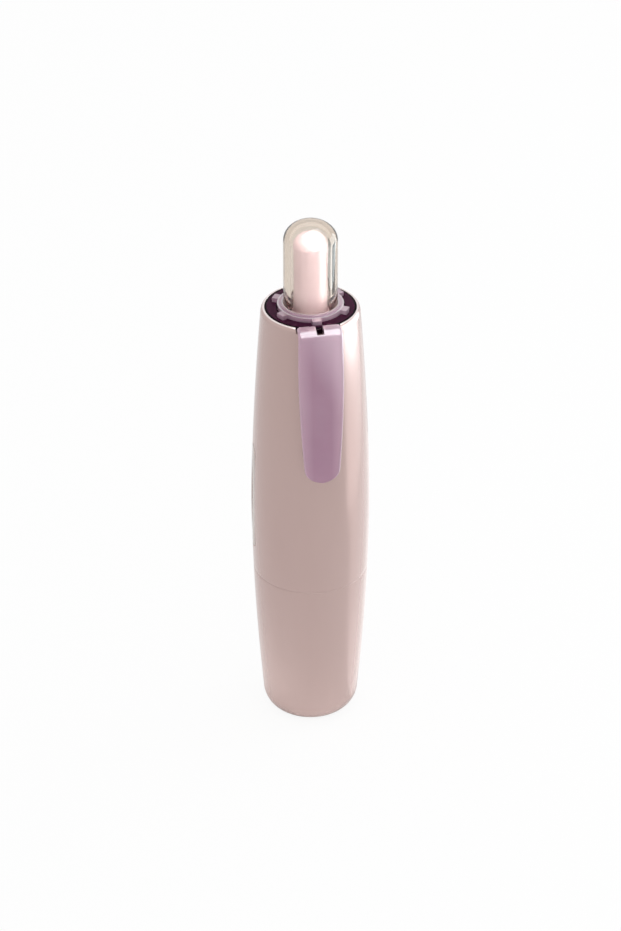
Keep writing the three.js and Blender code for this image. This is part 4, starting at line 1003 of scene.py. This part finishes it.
def clip_width(share):
    """Width at a share of the clip's length, widest a third of the way down."""
    if share < CLIP_WIDEST:
        back = (CLIP_WIDEST - share) / CLIP_WIDEST
        return CLIP_WIDTH - (CLIP_WIDTH - CLIP_ROOT_WIDTH) * back ** 2
    onward = (share - CLIP_WIDEST) / (1 - CLIP_WIDEST)
    return CLIP_WIDTH - (CLIP_WIDTH - CLIP_END_WIDTH) * onward ** CLIP_WIDTH_TAPER


def end_share(left):
    """What the rounded end leaves of the width, with so much of the length left."""
    inside = max(0, 1 - left / CLIP_END_ROUND)
    return max(CLIP_TIP_SHARE, math.sqrt(1 - inside ** CLIP_END_CURVE))


def clip_path():
    """Stations as (y, z) from the axis: the tab over the rim, the bend, and the blade with its end."""
    half = CLIP_THICKNESS / 2
    top = CLIP_TOP - half
    root = Vector((-CLIP_TAB_REACH, top))
    bend_start = Vector((-(CLIP_TOP_REACH - half - CLIP_BEND), top))
    corner = Vector((-(CLIP_TOP_REACH - half), top))
    bend_end = Vector((-(CLIP_TOP_REACH - half), top - CLIP_BEND))
    tip = Vector((-(CLIP_END_REACH - half), CLIP_LOW.z))
    round_start = 1 - CLIP_END_ROUND / (tip - bend_end).length
    stations = [root.lerp(bend_start, share) for share in TAB_STATIONS]
    stations += bent(bend_start, corner, bend_end, ARC_STEPS)
    for step in range(1, BLADE_STEPS + 1):
        stations.append(bend_end.lerp(tip, round_start * step / BLADE_STEPS))
    for step in range(1, BLADE_END_STEPS + 1):
        left = (1 - round_start) * (1 - step / BLADE_END_STEPS) ** BLADE_END_CROWDING
        stations.append(bend_end.lerp(tip, 1 - left))
    return stations


def strip_section(centre, tangent, width):
    """The clip's rounded section, square to its path."""
    normal = Vector((tangent.y, -tangent.x))
    half = CLIP_THICKNESS / 2
    round_x = min(CLIP_EDGE, width / 2 * CLIP_EDGE_SHARE)
    ring = []
    for x, out in rounded_rectangle(width / 2, half, round_x, CLIP_EDGE):
        ring.append((x, AXIS_Y + centre.x + normal.x * out, centre.y + normal.y * out))
    return ring


def clip_blade():
    """The strip along the clip's path."""
    stations = clip_path()
    lengths = [0]
    for before, after in zip(stations, stations[1:]):
        lengths.append(lengths[-1] + (after - before).length)
    total = lengths[-1]
    sections = []
    for index, centre in enumerate(stations):
        before = stations[max(index - 1, 0)]
        after = stations[min(index + 1, len(stations) - 1)]
        width = clip_width(lengths[index] / total) * end_share(total - lengths[index])
        sections.append(strip_section(centre, (after - before).normalized(), width))
    return lofted("clip_blade", sections)


def notch_cutter():
    """The gap between the two halves of the tab."""
    half = CLIP_NOTCH / 2
    front = AXIS_Y - CLIP_TOP_REACH + CLIP_NOTCH_WEB
    return block(-half, half, front, AXIS_Y, CLIP_TOP - CLIP_THICKNESS / 2 - CLIP_BEND, CLIP_TOP + PAST)


def clip_leg(side):
    """A hook in the collar's slot, on a tongue of the tab."""
    low, high = sorted((side * CLIP_LEG_INNER, side * CLIP_LEG_OUTER))
    front = AXIS_Y - CLIP_TAB_REACH - CLIP_LEG_SUNK
    back = AXIS_Y - CLIP_LEG_REACH
    hook_low, hook_high = BODY_HEIGHT - CLIP_LEG_DEPTH, BODY_HEIGHT - CLIP_HOOK_BELOW_RIM
    leg = block(low, high, front, back, CLIP_UNDER, BODY_HEIGHT)
    hook = block(low, high, AXIS_Y - COLLAR_RADIUS, back, hook_low, hook_high)
    boolean(hook, disc(CLIP_LEG_RADIUS, hook_low - PAST, BODY_HEIGHT + PAST), "INTERSECT")
    join(leg, hook)
    return leg


def clip_pip():
    """The round pip under the clip's end that faces the barrel."""
    height = CLIP_LOW.z + CLIP_END_ROUND + CLIP_THICKNESS
    share = (CLIP_TOP - height) / (CLIP_TOP - CLIP_LOW.z)
    middle = CLIP_TOP_REACH + (CLIP_END_REACH - CLIP_TOP_REACH) * share - CLIP_THICKNESS / 2
    reach = middle - body_radius(height) - CLIP_PIP_GAP
    sections = []
    for radius, rise in arc((0, 0), reach, PIP_END_ANGLE, 0, PIP_STEPS):
        y = AXIS_Y - middle + rise
        circle = arc((0, height), radius, 0, 360, PIP_SIDES)[:-1]
        sections.append([(x, y, z) for x, z in circle])
    return lofted("pip", sections)


def pocket_clip():
    """The bent strip with its notched tab, two hooks and the pip."""
    obj = clip_blade()
    cut(obj, notch_cutter())
    for side in (-1, 1):
        join(obj, clip_leg(side))
    join(obj, clip_pip())
    bevel(obj, CLIP_BEVEL)
    smooth(obj)
    finish_piece(obj, "clip", "lilac_clear", "pocket_clip")


# Spring

def spring_section(share, bottom, top):
    """The wire's round section at a share of its length; the turns crowd at both ends."""
    angle = 2 * math.pi * SPRING_TURNS * share
    eased = share - SPRING_END_CROWDING * math.sin(2 * math.pi * share) / (2 * math.pi)
    outward = Vector((math.cos(angle), math.sin(angle), 0))
    centre = outward * SPRING_RADIUS + Vector((0, AXIS_Y, bottom + (top - bottom) * eased))
    circle = arc((0, 0), SPRING_WIRE / 2, 0, 360, WIRE_SIDES)[:-1]
    return [centre + outward * across + UP * up for across, up in circle]


def return_spring():
    """The wound wire, laid from its upper end down; in use the spring shortens towards its lower end as the
    cartridge goes down.
    """
    bottom = SPRING_LOW.z + SPRING_WIRE / 2
    top = SPRING_HIGH.z - SPRING_WIRE / 2
    downwards = [step / SPRING_STEPS for step in range(SPRING_STEPS, -1, -1)]
    obj = lofted("spring_wire", [spring_section(share, bottom, top) for share in downwards])
    smooth(obj, 50)
    finish_piece(obj, "shell", "spring_steel", "return_spring")
    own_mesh(obj)


# Pieces that keep the frame's own meshes, with the width of their bevel

KEPT_NODES = {
    "cam_rotor": 0.08,
    "push_stem": 0.1,
    "cartridge_frame": 0.08,
    "cartridge_cover": 0.08,
    "applicator_head": 0.08,
    "tape_run": 0,
    "supply_gear": 0.05,
    "clutch_ring": 0.1,
    "supply_core": 0.08,
    "tape_roll": 0.06,
    "takeup_spool": 0.05,
    "takeup_roll": 0.05,
}


def finish_kept_nodes():
    """Gives the inner pieces their materials and rounded edges; their meshes stay."""
    slots = {row["node"]: row["material_slot"] for row in frame["record"]["subparts"]}
    for name, width in KEPT_NODES.items():
        obj = frame["nodes"][name]
        obj.data.materials.clear()
        obj.data.materials.append(MATERIALS[slots[name]])
        obj.data.shade_smooth()
        weld = obj.modifiers.new("weld", "WELD")
        weld.merge_threshold = WELD_DISTANCE * MM
        if width:
            bevel(obj, width, segments=2, angle=40)
        normals = obj.modifiers.new("normals", "WEIGHTED_NORMAL")
        normals.keep_sharp = True


# Stage, light and camera

def stage():
    """A pale floor that keeps the object's shadow and looks nearly white to the camera."""
    corners = [(x * FLOOR_REACH, y * FLOOR_REACH, 0) for x, y in ((-1, -1), (1, -1), (1, 1), (-1, 1))]
    floor = new_object("floor", corners, [(0, 1, 2, 3)])
    material = new_material("floor_white", (0.93, 0.93, 0.93), 0.8)
    path = add_node(material, "ShaderNodeLightPath")
    share = add_node(material, "ShaderNodeMath", {1: FLOOR_GLOW_SHARE}, operation="MULTIPLY")
    glow = add_node(material, "ShaderNodeEmission")
    mix = add_node(material, "ShaderNodeMixShader")
    link(material, path, "Is Camera Ray", share, 0)
    link(material, share, "Value", mix, "Fac")
    link(material, shader_of(material), "BSDF", mix, 1)
    link(material, glow, "Emission", mix, 2)
    link(material, mix, "Shader", output_of(material), "Surface")
    floor.data.materials.append(material)


def world():
    """White all round, and a little dimmer for the rays that only light the object."""
    studio = bpy.data.worlds.new("studio")
    bpy.context.scene.world = studio
    studio.use_nodes = True
    background = studio.node_tree.nodes["Background"]
    background.inputs["Color"].default_value = (1, 1, 1, 1)
    path = add_node(studio, "ShaderNodeLightPath")
    seen = add_node(studio, "ShaderNodeMath", operation="MAXIMUM")
    clear = add_node(studio, "ShaderNodeMath", operation="MAXIMUM")
    level = add_node(studio, "ShaderNodeMapRange", {"To Min": WORLD_LEVEL})
    link(studio, path, "Is Camera Ray", seen, 0)
    link(studio, path, "Is Glossy Ray", seen, 1)
    link(studio, seen, "Value", clear, 0)
    link(studio, path, "Is Transmission Ray", clear, 1)
    link(studio, clear, "Value", level, "Value")
    link(studio, level, "Result", background, "Strength")


def soft_box(name, place, target, size, radiance, seen_by, tint=(1, 1, 1)):
    """An area light of a given radiance for the kinds of ray that are named."""
    data = bpy.data.lights.new(name, "AREA")
    data.shape = "RECTANGLE"
    data.color = tint
    data.size = size[0] * MM
    data.size_y = size[1] * MM
    data.energy = math.pi * radiance * data.size * data.size_y
    obj = bpy.data.objects.new(name, data)
    bpy.context.scene.collection.objects.link(obj)
    obj.location = Vector(place) * MM
    direction = (Vector(target) - Vector(place)).normalized()
    obj.rotation_euler = direction.to_track_quat("-Z", "Y").to_euler()
    obj.visible_camera = False
    obj.visible_diffuse = "diffuse" in seen_by
    obj.visible_glossy = "glossy" in seen_by
    obj.visible_transmission = "glass" in seen_by
    return obj


def floor_panel(name, turn, along, span, depth, radiance):
    """A glow on the floor, right of the line on which the body turns from shade to light."""
    angle = math.radians(turn)
    direction = Vector((math.cos(angle), math.sin(angle), 0))
    behind = Vector((-math.sin(angle), math.cos(angle), 0))
    place = direction * along + behind * depth / 2 + UP * PANEL_HEIGHT
    panel = soft_box(name, place, place + UP, (span, depth), radiance, "glossy")
    panel.rotation_euler = (math.pi, 0, angle)


def floor_bounce(name, x, y, size, radiance, tint):
    """Light that the white floor throws up at the body's shaded side."""
    soft_box(name, (x, y, BOUNCE_HEIGHT), (x, y, BODY_HEIGHT), size, radiance, "diffuse", tint)


def dark_flag():
    """A dark card behind the object on the right, which draws a dark line in the clear cap."""
    away = math.radians(90 + VIEW_AZIMUTH - FLAG_TURN)
    middle = Vector((math.cos(away), math.sin(away), 0)) * FLAG_DISTANCE
    side = Vector((-math.sin(away), math.cos(away), 0)) * FLAG_WIDTH / 2
    low, high = UP * FLAG_LOW, UP * FLAG_HIGH
    corners = [middle - side + low, middle + side + low, middle + side + high, middle - side + high]
    obj = new_object("dark_flag", corners, [(0, 1, 2, 3)])
    obj.data.materials.append(new_material("dark_card", (0.02, 0.018, 0.015), 0.9))
    obj.visible_camera = False
    obj.visible_diffuse = False
    obj.visible_glossy = False
    obj.visible_shadow = False


def lights():
    """The dark card, and lamps for the gloss, the clear cap, the right side and the shade."""
    dark_flag()
    soft_box(
        "side_gloss", place=(150, 5, 98), target=(0, 5, 98), size=(186, 140),
        radiance=3.6, seen_by="glossy", tint=(0.81, 0.945, 1),
    )
    floor_panel("floor_near", turn=-20, along=27, span=30, depth=120, radiance=0.36)
    floor_panel("floor_middle", turn=-20, along=71, span=58, depth=180, radiance=0.28)
    floor_panel("floor_far", turn=-28, along=150, span=100, depth=180, radiance=0.7)
    soft_box(
        "top_gloss", place=(55, -95, 405), target=(0, 0, 100), size=(390, 390),
        radiance=5.7, seen_by="glossy glass", tint=(0.93, 1, 1),
    )
    soft_box(
        "core_strip", place=(84, -30, 62), target=(0, 0, 62), size=(70, 90),
        radiance=2.4, seen_by="glass",
    )
    soft_box(
        "core_fill", place=(120, -230, 270), target=(0, 0, 112), size=(200, 200),
        radiance=6.0, seen_by="glass",
    )
    soft_box(
        "side_fill", place=(414, 169, 160), target=(0, 0, 60), size=(300, 260),
        radiance=1.33, seen_by="diffuse", tint=(0.94, 1, 1),
    )
    floor_bounce("bounce_front", x=-12, y=-15, size=(48, 14), radiance=1.1, tint=(0.88, 1, 1))
    floor_bounce("bounce_left", x=-26, y=2, size=(20, 46), radiance=3.3, tint=(0.9, 1, 1))
    floor_bounce("bounce_right", x=28, y=-6, size=(16, 30), radiance=2.7, tint=(0.9, 1, 1))


def camera():
    """Looks at the body's axis from the front left and above, and is then tilted up a little."""
    azimuth = math.radians(VIEW_AZIMUTH)
    elevation = math.radians(VIEW_ELEVATION)
    level = math.cos(elevation)
    back = Vector((math.sin(azimuth) * level, -math.cos(azimuth) * level, math.sin(elevation)))
    place = Vector((0, AXIS_Y, VIEW_PIVOT_HEIGHT)) + back * VIEW_DISTANCE
    data = bpy.data.cameras.new("camera")
    data.lens = FOCAL_LENGTH
    data.sensor_width = SENSOR
    obj = bpy.data.objects.new("camera", data)
    bpy.context.scene.collection.objects.link(obj)
    turn = (-back).to_track_quat("-Z", "Y").to_matrix()
    tilt = Matrix.Rotation(math.radians(VIEW_TILT_UP), 3, "X")
    obj.matrix_world = Matrix.Translation(place * MM) @ (turn @ tilt).to_4x4()
    bpy.context.scene.camera = obj


bpy.context.scene.view_settings.view_transform = "Standard"

camera()
barrel()
nose_sleeve()
window_lens(-1, "lens_left", "window_left")
window_lens(1, "lens_right", "window_right")
collar()
plunger()
button_dome()
button_core()
pocket_clip()
return_spring()
finish_kept_nodes()
stage()
world()
lights()
